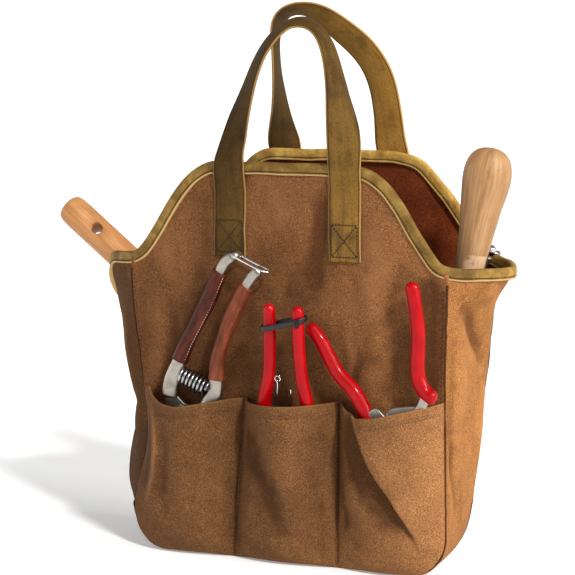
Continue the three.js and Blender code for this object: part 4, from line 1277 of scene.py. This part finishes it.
def handle(name, front):
    left, right = HANDLE_X[name]
    lo, hi = tab_points(left, front), tab_points(right, front)[::-1]
    drop = 0 if front < 0 else 1.7
    loop = [(x, y, z - drop * float(ease((z - 436) / 26)), *d) for x, y, z, *d in STRAPS[name]]
    stations = [(*p, 1.0, 0.0, 0.0) for p in lo] + loop + [(*p, -1.0, 0.0, 0.0) for p in hi]
    path = along([p[:3] for p in stations], STRAP_ROWS, per=14)
    path = path + (smoothed(path, 27) - path) * ease((path[:, 2:] - 322) / 14)
    # the direction across is carried along by the share of the way between stations
    marks = np.array([np.argmin(((path - np.array(p[:3])) ** 2).sum(1)) for p in stations], float)
    marks = np.maximum.accumulate(marks + np.arange(len(marks)) * 1e-3)
    rows = np.arange(STRAP_ROWS)
    across = np.stack([np.interp(rows, marks, [p[k] for p in stations]) for k in (3, 4, 5)], 1)
    across = smoothed(across, 21)
    tan = tangents(path)
    side = unit(across - tan * (across * tan).sum(1, keepdims=True))
    face = unit(np.cross(side, tan))
    s = run_length(path)
    above = np.where(path[:, 2] > HINGE_Z)[0]
    q = np.clip((s - s[above[0]]) / (s[above[-1]] - s[above[0]]), 0, 1)
    # the strap cups along its length where it is gripped and where it twists
    bend = np.interp(q, *zip(*CUPS[name]))
    flat_a = STRAP_PROFILE[None, :, :1] * (1 + 0.02 * fbm(s / 30, 0 * s, 101 + front, 2))[:, None, None]
    turn = np.maximum(bend, 1e-3)[:, None, None] / (2 * HALF_STRAP)
    angle, radius = flat_a * turn, 1 / turn + STRAP_PROFILE[None, :, 1:]
    rise = radius * np.cos(angle) - 1 / turn + HALF_STRAP**2 * turn / 6
    prof = np.concatenate([radius * np.sin(angle), rise], 2)
    obj = sweep(f"{name}_handle_webbing", path, side, face, prof, strap_mat if front < 0 else back_strap_mat)
    layer = obj.data.uv_layers[0].data
    uv = np.zeros(len(layer) * 2, np.float32)
    layer.foreach_get("uv", uv)
    idx = np.zeros(len(layer), np.int32)
    obj.data.loops.foreach_get("vertex_index", idx)
    uv = uv.reshape(-1, 2)
    n = len(STRAP_PROFILE)
    uv[:, 1] = STRAP_PROFILE[idx % n, 0] / 1000
    layer.foreach_set("uv", uv.ravel())
    return obj


front_handle = handle("front", -1)
back_handle = handle("back", 1)


# -------------------------------- stitching on the bag
def facing(pts, sign):
    """The same direction at every stitch: forwards for a sign of -1, backwards for 1."""
    return np.broadcast_to([0.0, sign, 0.0], pts.shape)


runs_dark, runs_hem = [], []
for name, front in (("front", -1), ("back", 1)):
    relief_fn = front_out if front < 0 else back_out
    for cx in HANDLE_X[name]:
        lo, hi = TAB_LOW + 4, TAB_LOW + 31
        a, b = cx - 11.6, cx + 11.6
        corners = [(a, lo), (b, lo), (b, hi), (a, hi), (a, lo)]
        sides = list(zip(corners[:-1], corners[1:])) + [((a, lo), (b, hi)), ((a, hi), (b, lo))]
        for p, q in sides:
            xs, zs = np.linspace(p[0], q[0], 14), np.linspace(p[1], q[1], 14)
            h = np.array([float(relief_fn(np.array(cx * 1.0), np.array(z))) for z in zs])
            pts = np.stack([xs, front * (HALF_D + TAB_OFF + h + 1.1), zs], 1)
            runs_dark.append((pts, facing(pts, front), 2.6, 0.3, 0.5))

# along the binding, just above its lower edge, on both faces
for sign in (1, -1):
    pts = mouth + out_dir * 2.4 * sign - over * 5.1
    pts = np.vstack([pts, pts[:1]])
    nrm = np.vstack([out_dir, out_dir[:1]]) * sign
    runs_dark.append((pts, nrm, 2.3, 0.9, 0.36))

# pocket seams and hem
for x in DIVIDERS:
    for dx in (-1.2, 1.2):
        zs = np.linspace(4, rim_height(x) - 1, 60)
        pts = pocket_face(np.full_like(zs, x + dx), zs)
        runs_dark.append((pts, facing(pts, -1), 2.2, 0.9, 0.36))
for drop in (7.0, 9.2):
    for a, b in zip(SEAMS[:-1], SEAMS[1:]):
        xs = np.linspace(a + 4, b - 4, 90)
        pts = pocket_face(xs, rim_height(xs) - drop)
        nrm = unit(np.cross(np.gradient(pts, axis=0), [0.0, 0.0, 1.0]))
        nrm *= np.where(nrm[:, 1:2] > 0, -1, 1)
        runs_hem.append((pts, nrm, 2.2, 1.0, 0.34))

SEAM_IN = 3.0  # how far the side seams' stitches lie inside the panels' edges


def side_run(side, inset, below_top, count):
    """Places (x, z) down a panel's side and round its lower corner, an inset away from its edge."""
    r = ROUND[side]
    zs = np.linspace(SIDE_H - below_top, r, count)
    low = np.linspace(0, np.pi / 2, 24)[1:]
    xs = panel_x(np.full_like(zs, side * (HALF_W - inset)), zs)
    corner_x = side * (HALF_W - r + (r - inset) * np.cos(low))
    return np.r_[xs, corner_x], np.r_[zs, r - (r - inset) * np.sin(low)]


# side seams: a row of stitches on the panel just inside each edge, and round the bottom
for sign in (-1, 1):
    for side in (-1, 1):
        xs, zs = side_run(side, SEAM_IN, 14, 80)
        base = np.linspace(side * (HALF_W - ROUND[side]), 0, 40)[1:]
        X, Z = np.r_[xs, base], np.r_[zs, np.full_like(base, SEAM_IN)]
        Y = np.full_like(X, sign * (HALF_D + 0.25))
        if sign < 0:
            Y = np.where(Z < 137, -HALF_D - 1.2, Y)
        pts = settle(np.stack([X, Y, Z], 1))
        runs_dark.append((pts, facing(pts, sign), 2.4, 1.0, 0.36))
stitches("bag_dark_stitching", runs_dark, "bag", dark_thread)
hem_stitch = stitches("pocket_hem_stitching", runs_hem, "bag", hem_thread)


def piping(name, y, sign):
    """The sewn ridge where a panel meets the gusset."""
    count = 420
    base = np.linspace(-(HALF_W - ROUND[-1]), HALF_W - ROUND[1], 60)[1:-1]
    (left_x, left_z), (right_x, right_z) = side_run(-1, 0, 10, 90), side_run(1, 0, 10, 90)
    X = np.r_[left_x, base, right_x[::-1]]
    Z = np.r_[left_z, np.zeros_like(base), right_z[::-1]]
    path = along(np.stack([X, np.full_like(X, y), Z], 1), count, per=4)
    path[:, 2] = np.maximum(path[:, 2], 1.2)
    path[:, 0] += 0.5 * fbm(np.arange(count) / 9.0, np.zeros(count), 121 + sign, 2)
    return wire(name, settle(path), 1.0, canvas_seam, sides=10)


front_piping = piping("front_seam_ridge", -HALF_D + 0.4, -1)
back_piping = piping("back_seam_ridge", HALF_D - 0.4, 1)


# -------------------------------- tools
def ride_all(body, *objs):
    for o in objs:
        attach(o, body)


BOLT = [
    (0.01, 0), (3.4, 0), (3.4, 3.6), (7.0, 3.7), (7.2, 4.4), (6.9, 5.6), (5.4, 6.2), (2.6, 6.35), (0.01, 6.4),
]
# each half of a cutting tool lies from the first to the second of these off the plane between the two
CLEAR, THICK = 0.3, 4.0


def bolt(name, tool, mat, out, wide=1.0, high=1.0, sides=40):
    """A domed bolt head or rivet on a pivot: behind the tool for out = 1, in front of it for out = -1."""
    return lathe(name, tool, [(r * wide, h * high * out) for r, h in BOLT], mat, axis="y", sides=sides)


def there_and_back(half):
    """A loop's points across a tool, from one half of it."""
    return half + [(x, -y) for x, y in half[-2::-1]]


def bare_arm(name, tool, points, wide, deep, mat, end=1.0):
    """The steel of a handle that shows below its grip."""
    return bar(name, tool, points, wide, deep, mat, 40, 20, square=1.4, round_ends=(1, 1), span=(0.0, end))


def vinyl_grip(name, tool, points, wide, deep, count, start, ends, tip):
    """A dipped grip that begins at a share of the way along a handle and runs past its end by a tip."""
    span = (start, 1.0)
    return bar(name, tool, points, wide, deep, red_vinyl, count, 32, round_ends=ends, span=span, tip=tip)


def tapering(start, loss):
    """A half-width that falls evenly by a loss along a bar."""
    return lambda t: start - loss * t


def narrowing(start, loss, share):
    """A half-width that eases down by a loss over the first share of a bar."""
    return lambda t: start - loss * float(ease(t / share))


# leather-handled secateurs
sec = Tool((-89, -HALF_D - 14, 122), 22)
LEFT = [
    (-18.5, 9), (-21.6, 25), (-21.6, 43), (-21, 62), (-18.6, 82), (-16, 106), (-14.8, 132), (-12.5, 144),
    (-6.5, 151),
]
RIGHT = [
    (17, 15), (19, 32), (16.5, 44), (11.5, 58), (9.6, 72), (9, 92), (10.2, 115), (12, 131), (15, 143),
    (18.5, 150),
]


def arm_width(t):
    """Wide at the shoulder, slim under the sleeve and a little wider at the end."""
    return 7.1 - 2.9 * float(ease((t - 0.1) / 0.3)) if t < 0.8 else 4.2 + 0.5 * float(ease((t - 0.8) / 0.1))


def arm_depth(t):
    return 4.5 - 0.5 * t


sec_left = bar("secateurs_left_arm", sec, LEFT, arm_width, arm_depth, forged, square=1.5, round_ends=(1, 4))
sec_right = bar(
    "secateurs_right_arm", sec, RIGHT, arm_width, arm_depth, forged, square=1.5, round_ends=(1, 3),
)
HOOK = [(-4, -9), (9, -9), (17, -22), (17, -40), (9, -54), (7, -52), (11, -38), (7, -22), (-3, -12)]
BLADE = [(8, -8), (-8, -8), (-12, -20), (-12, -36), (-7, -56), (-1, -60), (-2, -42), (3, -22)]
hook_head = plate("secateurs_hook", sec, HOOK, CLEAR, THICK, forged, 0.9)
blade_head = plate("secateurs_blade", sec, BLADE, -THICK, -CLEAR, blade_mat, 0.9)


def shoulder(name, neck, y0, y1, mat, r=11.0, tool=sec):
    """The flat boss round a pivot, running out into an arm."""
    d = np.array(neck, float)
    length = np.linalg.norm(d)
    d /= length
    n = np.array([-d[1], d[0]])
    a = np.linspace(math.radians(62), math.radians(298), 18)
    arc = [tuple(d * r * math.cos(q) + n * r * math.sin(q)) for q in a]
    tip = d * (length + 2)
    middle = d * length * 0.45
    neck_line = [middle - n * r * 0.72, tip - n * r * 0.48, tip + n * r * 0.48, middle + n * r * 0.72]
    return plate(name, tool, arc + [tuple(p) for p in neck_line], y0, y1, mat, 0.9, 120)


hook_boss = shoulder("secateurs_hook_boss", (-18.5, 9), CLEAR, 4.6, forged)
blade_boss = shoulder("secateurs_blade_boss", (17, 15), -4.6, -CLEAR, forged)
bolt_front = bolt("secateurs_pivot_head", sec, blackened, -1, sides=48)
bolt_rear = bolt("secateurs_pivot_nut", sec, blackened, 1, sides=6)
COIL_START, COIL_END, COIL_Z, TURNS, COIL_ROWS = -15.4, 12.6, 33, 7.5, 300
turns = np.linspace(0, TURNS * 2 * np.pi, COIL_ROWS)
coil_r = 7.3 + 0.6 * np.sin(np.linspace(0, np.pi, COIL_ROWS))
coil_x = np.linspace(COIL_START, COIL_END, COIL_ROWS)
coil_path = np.stack([coil_x, coil_r * np.cos(turns), COIL_Z + coil_r * np.sin(turns)], 1)
coil = wire("secateurs_coil_spring", sec(coil_path), 1.15, spring_mat, sides=10)
core = bar(
    "secateurs_spring_core", sec, [(-16.5, 33), (-8, 33), (2, 33), (15, 33)], 4.6, 4.6, rubber_mat, 40, 24,
    round_ends=(0.5, 0.5),
)


SLEEVE_END = 0.855


def leather_sleeve(name, points, mat, start):
    """A wrapped and stitched sleeve with a slight waist, thicker at both rims."""
    return bar(
        name, sec, points,
        lambda t: 6.7 + 0.45 * math.cos(9 * t) + (0.35 if t < 0.04 or t > 0.96 else 0),
        lambda t: 6.1 + 0.3 * math.cos(8 * t),
        mat, count=110, sides=36, square=1.12, round_ends=(1.2, 1.2), span=(start, SLEEVE_END),
    )


def sleeve_stitching(name, points, start, face, body):
    """A row of stitches along a sleeve's inner edge, on its front (face -1) or its rear (face 1)."""
    full, lo, hi = stretch_of(points, start, SLEEVE_END - 0.01)
    edge = along(full[lo:hi:6], 90)
    inner = unit(np.cross([0.0, 1.0, 0.0], tangents(edge)))
    inner = inner * np.where(inner[:, :1] * face > 0, -1, 1)
    normal = unit(inner * 0.86 + [0, 0.6 * face, 0])
    pts = edge + inner * 5.7 + [0, 3.6 * face, 0]
    return stitches(name, [(sec(pts), sec.turn(normal), 1.7, 0.8, 0.36)], body, pale_thread)


sleeve_l = leather_sleeve("secateurs_left_sleeve", LEFT, leather_left, 0.24)
sleeve_r = leather_sleeve("secateurs_right_sleeve", RIGHT, leather_right, 0.21)
sleeve_stitching("secateurs_leather_stitching", LEFT, 0.25, -1, "secateurs")
sleeve_stitching("secateurs_right_leather_stitching", RIGHT, 0.22, 1, "secateurs_right_arm")
LATCH_X, LATCH_Z, LATCH_HALF = -6.5, 151, 5.9
knob = [(0.01, -6.0), (1.8, -5.9), (3.2, -4.6), (3.7, -2.4), (3.7, 2.4), (3.2, 4.6), (1.8, 5.9), (0.01, 6.0)]
knob_l = lathe("secateurs_latch_boss", sec, knob, forged, axis="y", centre=(LATCH_X, 0, LATCH_Z), sides=40)
half_loop = [(LATCH_X, LATCH_HALF), (6, LATCH_HALF), (18, LATCH_HALF), (23.5, 5.2), (26.5, 2.6), (26.7, 0)]
loop = [(x, y, LATCH_Z - 0.8 * math.sin(max(0, x) / 27 * math.pi)) for x, y in there_and_back(half_loop)]
latch_pts = along(loop, 140)
latch = wire("secateurs_latch_loop", sec(latch_pts), 0.95, chrome_mat, sides=12)
ride_all("secateurs", sec_left, hook_head, hook_boss, bolt_front, bolt_rear, core, sleeve_l, knob_l)
ride_all("secateurs_right_arm", sec_right, blade_head, blade_boss, sleeve_r)
ride_all("secateurs_latch", latch)
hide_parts("secateurs_hook_body")
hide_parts("secateurs_blade_body")
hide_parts("secateurs_left_leather")
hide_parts("secateurs_right_leather")
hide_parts("secateurs_pivot_bolt")
coil_ends = sec([[COIL_START, 0, COIL_Z], [14.0, 0, COIL_Z]]) / 1000
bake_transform(coil)
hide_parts("secateurs_spring")
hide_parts("secateurs_latch_pin")
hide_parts("secateurs_latch_wire")

# red snips
snp = Tool((8, -HALF_D - 15, 104), 2, 9)
snips = {}
SN = {
    -1: [(16, 13), (19, 26), (18.4, 40), (13.6, 62), (11.6, 92), (11.2, 119)],
    1: [(16, 13), (20, 26), (20.4, 40), (16.6, 62), (14.8, 92), (14.6, 119)],
}
SN_BLADE = [(-3, -7), (5, -7), (6, -22), (3, -44), (0, -58), (-2, -44), (-3, -24), (-5, -8)]
for name, side, y0, y1 in (("left", -1, CLEAR, THICK), ("right", 1, -THICK, -CLEAR)):
    path = [(side * x, z) for x, z in SN[side]]
    widths = narrowing(6.0, 0.7, 0.5), narrowing(5.8, 0.6, 0.5)
    grip = vinyl_grip(f"snips_{name}_grip", snp, path, *widths, 120, 0.155, (1.4, 7.5), 6.8)
    arm = bare_arm(f"snips_{name}_arm", snp, path, 4.2, 3.6, blackened, 0.3)
    blade = plate(f"snips_{name}_blade", snp, [(-side * x, z) for x, z in SN_BLADE], y0, y1, blade_mat, 0.6)
    boss = shoulder(f"snips_{name}_boss", (side * 16, 13), y0, y1, blackened, 8.0, snp)
    snips[name] = (grip, arm, blade, boss)
rivet = bolt("snips_rivet_head", snp, forged, -1, 0.66, 0.9)
rivet_b = bolt("snips_rivet_tail", snp, forged, 1, 0.66, 0.9)
turned_to = np.linspace(math.radians(-60), math.radians(255), 9)
eye = [(-5.6 + 2.5 * math.cos(a), 60 + 2.5 * math.sin(a)) for a in turned_to]
spring_pts = along(flat(eye + [(-6.2, 46), (-5, 26), (0, 14), (5, 26), (6, 40), (6.2, 52)]), 170)
snip_spring = wire("snips_spring_wire", snp(spring_pts), 0.62, chrome_mat, sides=10)
q = np.linspace(0, 2 * np.pi, 120, endpoint=False)
bx = 1.7 + 12.9 * np.clip(np.cos(q) * 3, -1, 1) + 7.1 * np.cos(q)
band_c = np.stack([bx, 7.1 * np.sin(q), 109 + 0.29 * bx], 1)
band_c = along(band_c, 140, closed=True, per=3)
bt = tangents(band_c, True)
bside = unit(np.cross(bt, [0.0, 0.0, 1.0]))
bup = unit(np.cross(bside, bt))
bprof = np.array([
    (-0.7, -2.2), (0.7, -2.2), (0.95, -1.4), (0.95, 1.4), (0.7, 2.2), (-0.7, 2.2), (-0.95, 1.4),
    (-0.95, -1.4),
])
band = sweep("snips_catch_strap", snp(band_c), snp.turn(bside), snp.turn(bup), bprof, rubber_mat, closed=True)
clip = bar(
    "snips_catch_clip", snp, [(16.5, 108.5), (16.3, 111), (16.4, 114), (16.3, 117)], 2.1, 0.9, blackened, 24,
    16, square=1.8, round_ends=(0.8, 0.8), y=-7.4,
)
ride_all("snips", *snips["left"], rivet, rivet_b, snip_spring)
ride_all("snips_right_arm", *snips["right"])
ride_all("snips_band", band, clip)
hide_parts("snips_left_grip")
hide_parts("snips_right_grip")
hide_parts("snips_left_half")
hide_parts("snips_right_half")
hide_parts("snips_pivot_rivet")
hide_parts("snips_spring")
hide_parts("snips_catch_band")

# red pruner, standing open
prn = Tool((100, -HALF_D - 15, 124), 0)
PL = [(-13, 6), (-18.5, 12), (-23, 21), (-30, 32), (-44, 46), (-54, 62), (-61, 74), (-68.5, 82.5)]
PR_GRIP = [
    (43, 30.5), (38.5, 32), (33.5, 35), (29.8, 40), (27, 47), (25.9, 58), (26.2, 68), (26.4, 82), (24, 104),
    (20.5, 122),
]
PR = [(14, 8), (22, 14), (29, 22), (32.5, 30), (30.5, 39), (27, 47)]
P_CROWN = [(-1, 6), (-3, 14), (2, 19), (12, 21.6), (24, 23.2), (33, 24.6), (35, 20.5), (28, 13), (14, 4)]
P_HOOK = [(-3, -8), (8, -8), (17, -16), (23, -30), (23, -44), (19, -46), (16, -34), (8, -20), (-3, -11)]
P_BLADE = [(8, -7), (-7, -8), (-17, -18), (-19, -32), (-11, -48), (-5, -50), (-5, -36), (2, -20)]
deep = tapering(6.1, 0.8)
pl_grip = vinyl_grip(
    "pruner_left_grip_vinyl", prn, PL, tapering(6.6, 0.9), deep, 120, 0.04, (1.4, 6.0), 4.6
)
pr_grip = vinyl_grip(
    "pruner_right_grip_vinyl", prn, PR_GRIP, tapering(6.4, 0.7), deep, 140, 0.0, (5.0, 6.0), 4.6
)
pl_arm = bare_arm("pruner_left_arm_steel", prn, PL, 4.3, 4.0, forged, 0.25)
pr_arm = bare_arm("pruner_right_arm_steel", prn, PR, 4.3, 4.0, forged)
pr_crown = plate("pruner_crown", prn, P_CROWN, CLEAR, THICK, forged, 0.8)
pl_head = plate("pruner_hook", prn, P_HOOK, -THICK, -CLEAR, forged, 0.8)
pr_head = plate("pruner_blade", prn, P_BLADE, CLEAR, THICK, blade_mat, 0.8)
pl_boss = shoulder("pruner_left_boss", (-12, 15), -4.4, -CLEAR, forged, 11.0, prn)
pr_boss = shoulder("pruner_right_boss", (17, 10), CLEAR, 4.4, forged, 11.0, prn)
p_bolt = bolt("pruner_pivot_head", prn, blackened, -1, sides=6)
p_nut = bolt("pruner_pivot_nut", prn, blackened, 1, sides=48)
ride_all("pruner", pr_grip, pr_arm, pr_crown, pr_head, pr_boss, p_bolt, p_nut)
ride_all("pruner_left_arm", pl_grip, pl_arm, pl_head, pl_boss)
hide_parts("pruner_right_grip")
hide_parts("pruner_left_grip")
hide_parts("pruner_cutting_half")
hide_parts("pruner_hook_half")
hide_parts("pruner_pivot_bolt")

# trowel with a drilled dowel handle
trw = Tool((-243, 0, 293), -52)
R = 13.8
DOWEL = [
    (9.9, -138), (9.9, -112), (10.4, -111), (R - 1.6, -110), (R - 0.4, -106), (R, -98), (R, -60), (R, -14),
    (R - 0.25, -8), (R - 0.9, -4.4), (R - 2.2, -1.9), (R - 4.4, -0.5), (R - 8, 0), (0.01, 0),
]
dowel = lathe("trowel_dowel_handle", trw, DOWEL, beech_mat, sides=96)
HOLE_Z, HOLE_TURN = -39, math.radians(34)  # the hole's place below the butt, and its turn about the handle
c, q = math.cos(HOLE_TURN), math.sin(HOLE_TURN)
turned = Tool(trw([0, 0, HOLE_Z]), 0)
turned.r = trw.r @ np.array([[c, -q, 0], [q, c, 0], [0, 0, 1]])
HOLE = [(0.01, -22), (9.6, -22), (5.6, -12.6), (5.0, -11.4), (5.0, 11.4), (5.6, 12.6), (9.6, 22), (0.01, 22)]
drill = lathe("drill", turned, HOLE, beech_mat, axis="y", sides=48)
cutter = dowel.modifiers.new("hanging_hole", "BOOLEAN")
cutter.object, cutter.operation, cutter.solver = drill, "DIFFERENCE", "EXACT"
bpy.context.view_layer.update()
bpy.context.view_layer.objects.active = dowel
with bpy.context.temp_override(object=dowel, active_object=dowel):
    bpy.ops.object.modifier_apply(modifier=cutter.name)
bpy.data.objects.remove(drill, do_unlink=True)
TROWEL_FERRULE = [
    (10.2, -140), (11.0, -140), (11.3, -138), (11.4, -120), (11.9, -118), (11.9, -116), (11.4, -114.5),
    (11.3, -113), (10.2, -112.5),
]
t_ferrule = lathe("trowel_ferrule_ring", trw, TROWEL_FERRULE, chrome_mat, sides=64)


def scoop(name, tool, top, low, half_width, dish, tang_top):
    """A dished blade and the tang that runs from it into the ferrule."""
    mat = spade_mat
    us, ts = np.linspace(-1, 1, 25), np.linspace(0, 1, 41)
    U, T = np.meshgrid(us, ts, indexing="ij")
    width = half_width * np.sin(np.pi * (0.16 + 0.8 * T)) ** 0.6
    x = dish * (U * U - 0.35) * np.sin(np.pi * (0.15 + 0.7 * T))
    P = np.stack([x, U * width, top + (low - top) * T], -1)
    blade = grid(name, tool(P), np.stack([U * 0.03, T * 0.13], -1), mat=mat)
    thicken(blade, 1.6, 0)
    bevel_edges(blade, 0.4, 2)
    tang = [(0.01, top - 26), (2.4, top - 24), (3.6, top - 10), (3.6, tang_top), (0.01, tang_top)]
    stem = lathe(name + "_tang", tool, tang, mat, sides=28)
    return blade, stem


t_blade, t_stem = scoop("trowel_scoop", trw, -178, -310, 27, 11, -97)
ride_all("trowel", dowel, t_ferrule, t_blade, t_stem)
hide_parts("trowel_handle")
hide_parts("trowel_ferrule")
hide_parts("trowel_blade")

# transplanter with a worn bulb handle
trp = Tool((168, -16, 356), 10.5)
bulb_profile = [
    (9.5, -132), (9.5, -111), (10.2, -110), (11.8, -109), (12.2, -104), (12.6, -94), (13.8, -80), (15.6, -62),
    (18.0, -44), (19.8, -31), (20.3, -23), (19.4, -14.4), (17.0, -7.6), (13.0, -2.6), (7.2, 0.4), (0.01, 1.5),
]


def worn_wobble(h, a):
    """Small dents round the handle."""
    return 0.22 * fbm(a * 2.4 + 0 * h, h / 16 + 0 * a, 141, 3)


bulb = lathe("transplanter_bulb_handle", trp, bulb_profile, ash_mat, sides=96, wobble=worn_wobble, count=90)
co = np.array([v.co for v in bulb.data.vertices])
local = (co * 1000 - trp.t) @ trp.r
pitted = np.where(local[:, 2] > -40, 0.9, 0.0)
bare = np.where((local[:, 2] < -88) & (local[:, 1] < 0) & (local[:, 0] > -3), -0.8, 0.0)
point_values(bulb.data, "wear_and_shade", pitted + bare)
TRANSPLANTER_FERRULE = [
    (9.8, -134), (10.7, -134), (11.0, -132), (11.1, -118), (11.5, -116), (11.5, -114), (11.1, -112.5),
    (10.9, -111), (9.8, -110.6),
]
p_ferrule = lathe("transplanter_ferrule_ring", trp, TRANSPLANTER_FERRULE, chrome_mat, sides=64)
p_blade, p_stem = scoop("transplanter_scoop", trp, -166, -300, 22, 10, -93)
ride_all("transplanter", bulb, p_ferrule, p_blade, p_stem)
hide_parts("transplanter_handle")
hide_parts("transplanter_ferrule")
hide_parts("transplanter_blade")

# small shears
shr = Tool((112, 30, 170), 16)
SH = [(12, 10), (13, 24), (9, 50), (9, 84), (12, 100)]
SH_BLADE = [(-3, -7), (4, -7), (6, -22), (3, -44), (0, -56), (-2, -44), (-3, -24), (-5, -8)]
BALL = [(0.01, -5.2), (2.4, -4.7), (4.3, -3.0), (5.2, 0), (4.3, 3.0), (2.4, 4.7), (0.01, 5.2)]
SHEARS_TOP = 104
shears = {}
for name, side, y0, y1 in (("left", -1, CLEAR, 3.0), ("right", 1, -3.0, -CLEAR)):
    arm = bar(
        f"shears_{name}_arm", shr, [(side * x, z) for x, z in SH], 3.5, 3.2, forged, 70, 24,
        round_ends=(1, 1),
    )
    ball = lathe(
        f"shears_{name}_knob", shr, BALL, chrome_mat, centre=(side * 12, 0, SHEARS_TOP), sides=36, count=24,
    )
    blade = plate(f"shears_{name}_blade", shr, [(-side * x, z) for x, z in SH_BLADE], y0, y1, blade_mat, 0.5)
    boss = shoulder(f"shears_{name}_boss", (side * 12, 10), y0, y1, forged, 7.0, shr)
    shears[name] = (arm, ball, blade, boss)
sh_rivet = bolt("shears_rivet_head", shr, blackened, -1, 0.58, 0.7, 36)
sh_tail = bolt("shears_rivet_tail", shr, blackened, 1, 0.58, 0.7, 36)
half_loop = [(-12, 6.4), (0, 6.4), (14, 6.4), (19, 4.6), (21, 0)]
latch_pts = along([(x, y, SHEARS_TOP) for x, y in there_and_back(half_loop)], 110)
sh_latch = wire("shears_latch_loop", shr(latch_pts), 0.9, chrome_mat)
ride_all("shears", *shears["left"], sh_rivet, sh_tail)
ride_all("shears_right_arm", *shears["right"])
ride_all("shears_latch", sh_latch)
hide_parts("shears_left_half")
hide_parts("shears_right_half")
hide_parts("shears_rivet")
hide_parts("shears_latch_wire")

# -------------------------------- bodies of the bag's pieces
ride_all("bag", front_panel, back_panel, gusset, pocket, binding, front_piping, back_piping)
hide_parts("bag_front_panel")
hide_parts("bag_back_panel")
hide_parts("bag_gusset_strip")
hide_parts("bag_pocket_panel")
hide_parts("bag_mouth_binding")
for name, obj, front in (("front", front_handle, -1), ("back", back_handle, 1)):
    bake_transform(obj)
    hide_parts(f"{name}_handle_strap", f"{name}_handle_left_tab", f"{name}_handle_right_tab")

# -------------------------------- floor, rising into a pale rim far away
radii = np.array([0.001, 2, 8, 30, 60, 64, 68, 71, 73, 74, 74.5])
rise = np.array([0, 0, 0, 0, 0, 0.5, 2, 5, 9, 14, 20])
around = np.linspace(0, 2 * np.pi, 96, endpoint=False)
x, y = radii[:, None] * np.cos(around), radii[:, None] * np.sin(around)
dish = np.stack([x, y, rise[:, None] + 0 * around - 0.0004], -1) * 1000
floor = grid("studio_floor", dish, wrap=(False, True))
if floor.data.polygons[0].normal.z < 0:
    floor.data.flip_normals()
pale = {"Specular_IOR_Level": 0.0, "Emission_Color": (1, 1, 1, 1), "Emission_Strength": 0.25}
floor.data.materials.append(Look("pale_floor").finish((0.93, 0.93, 0.93), 0.9, **pale))
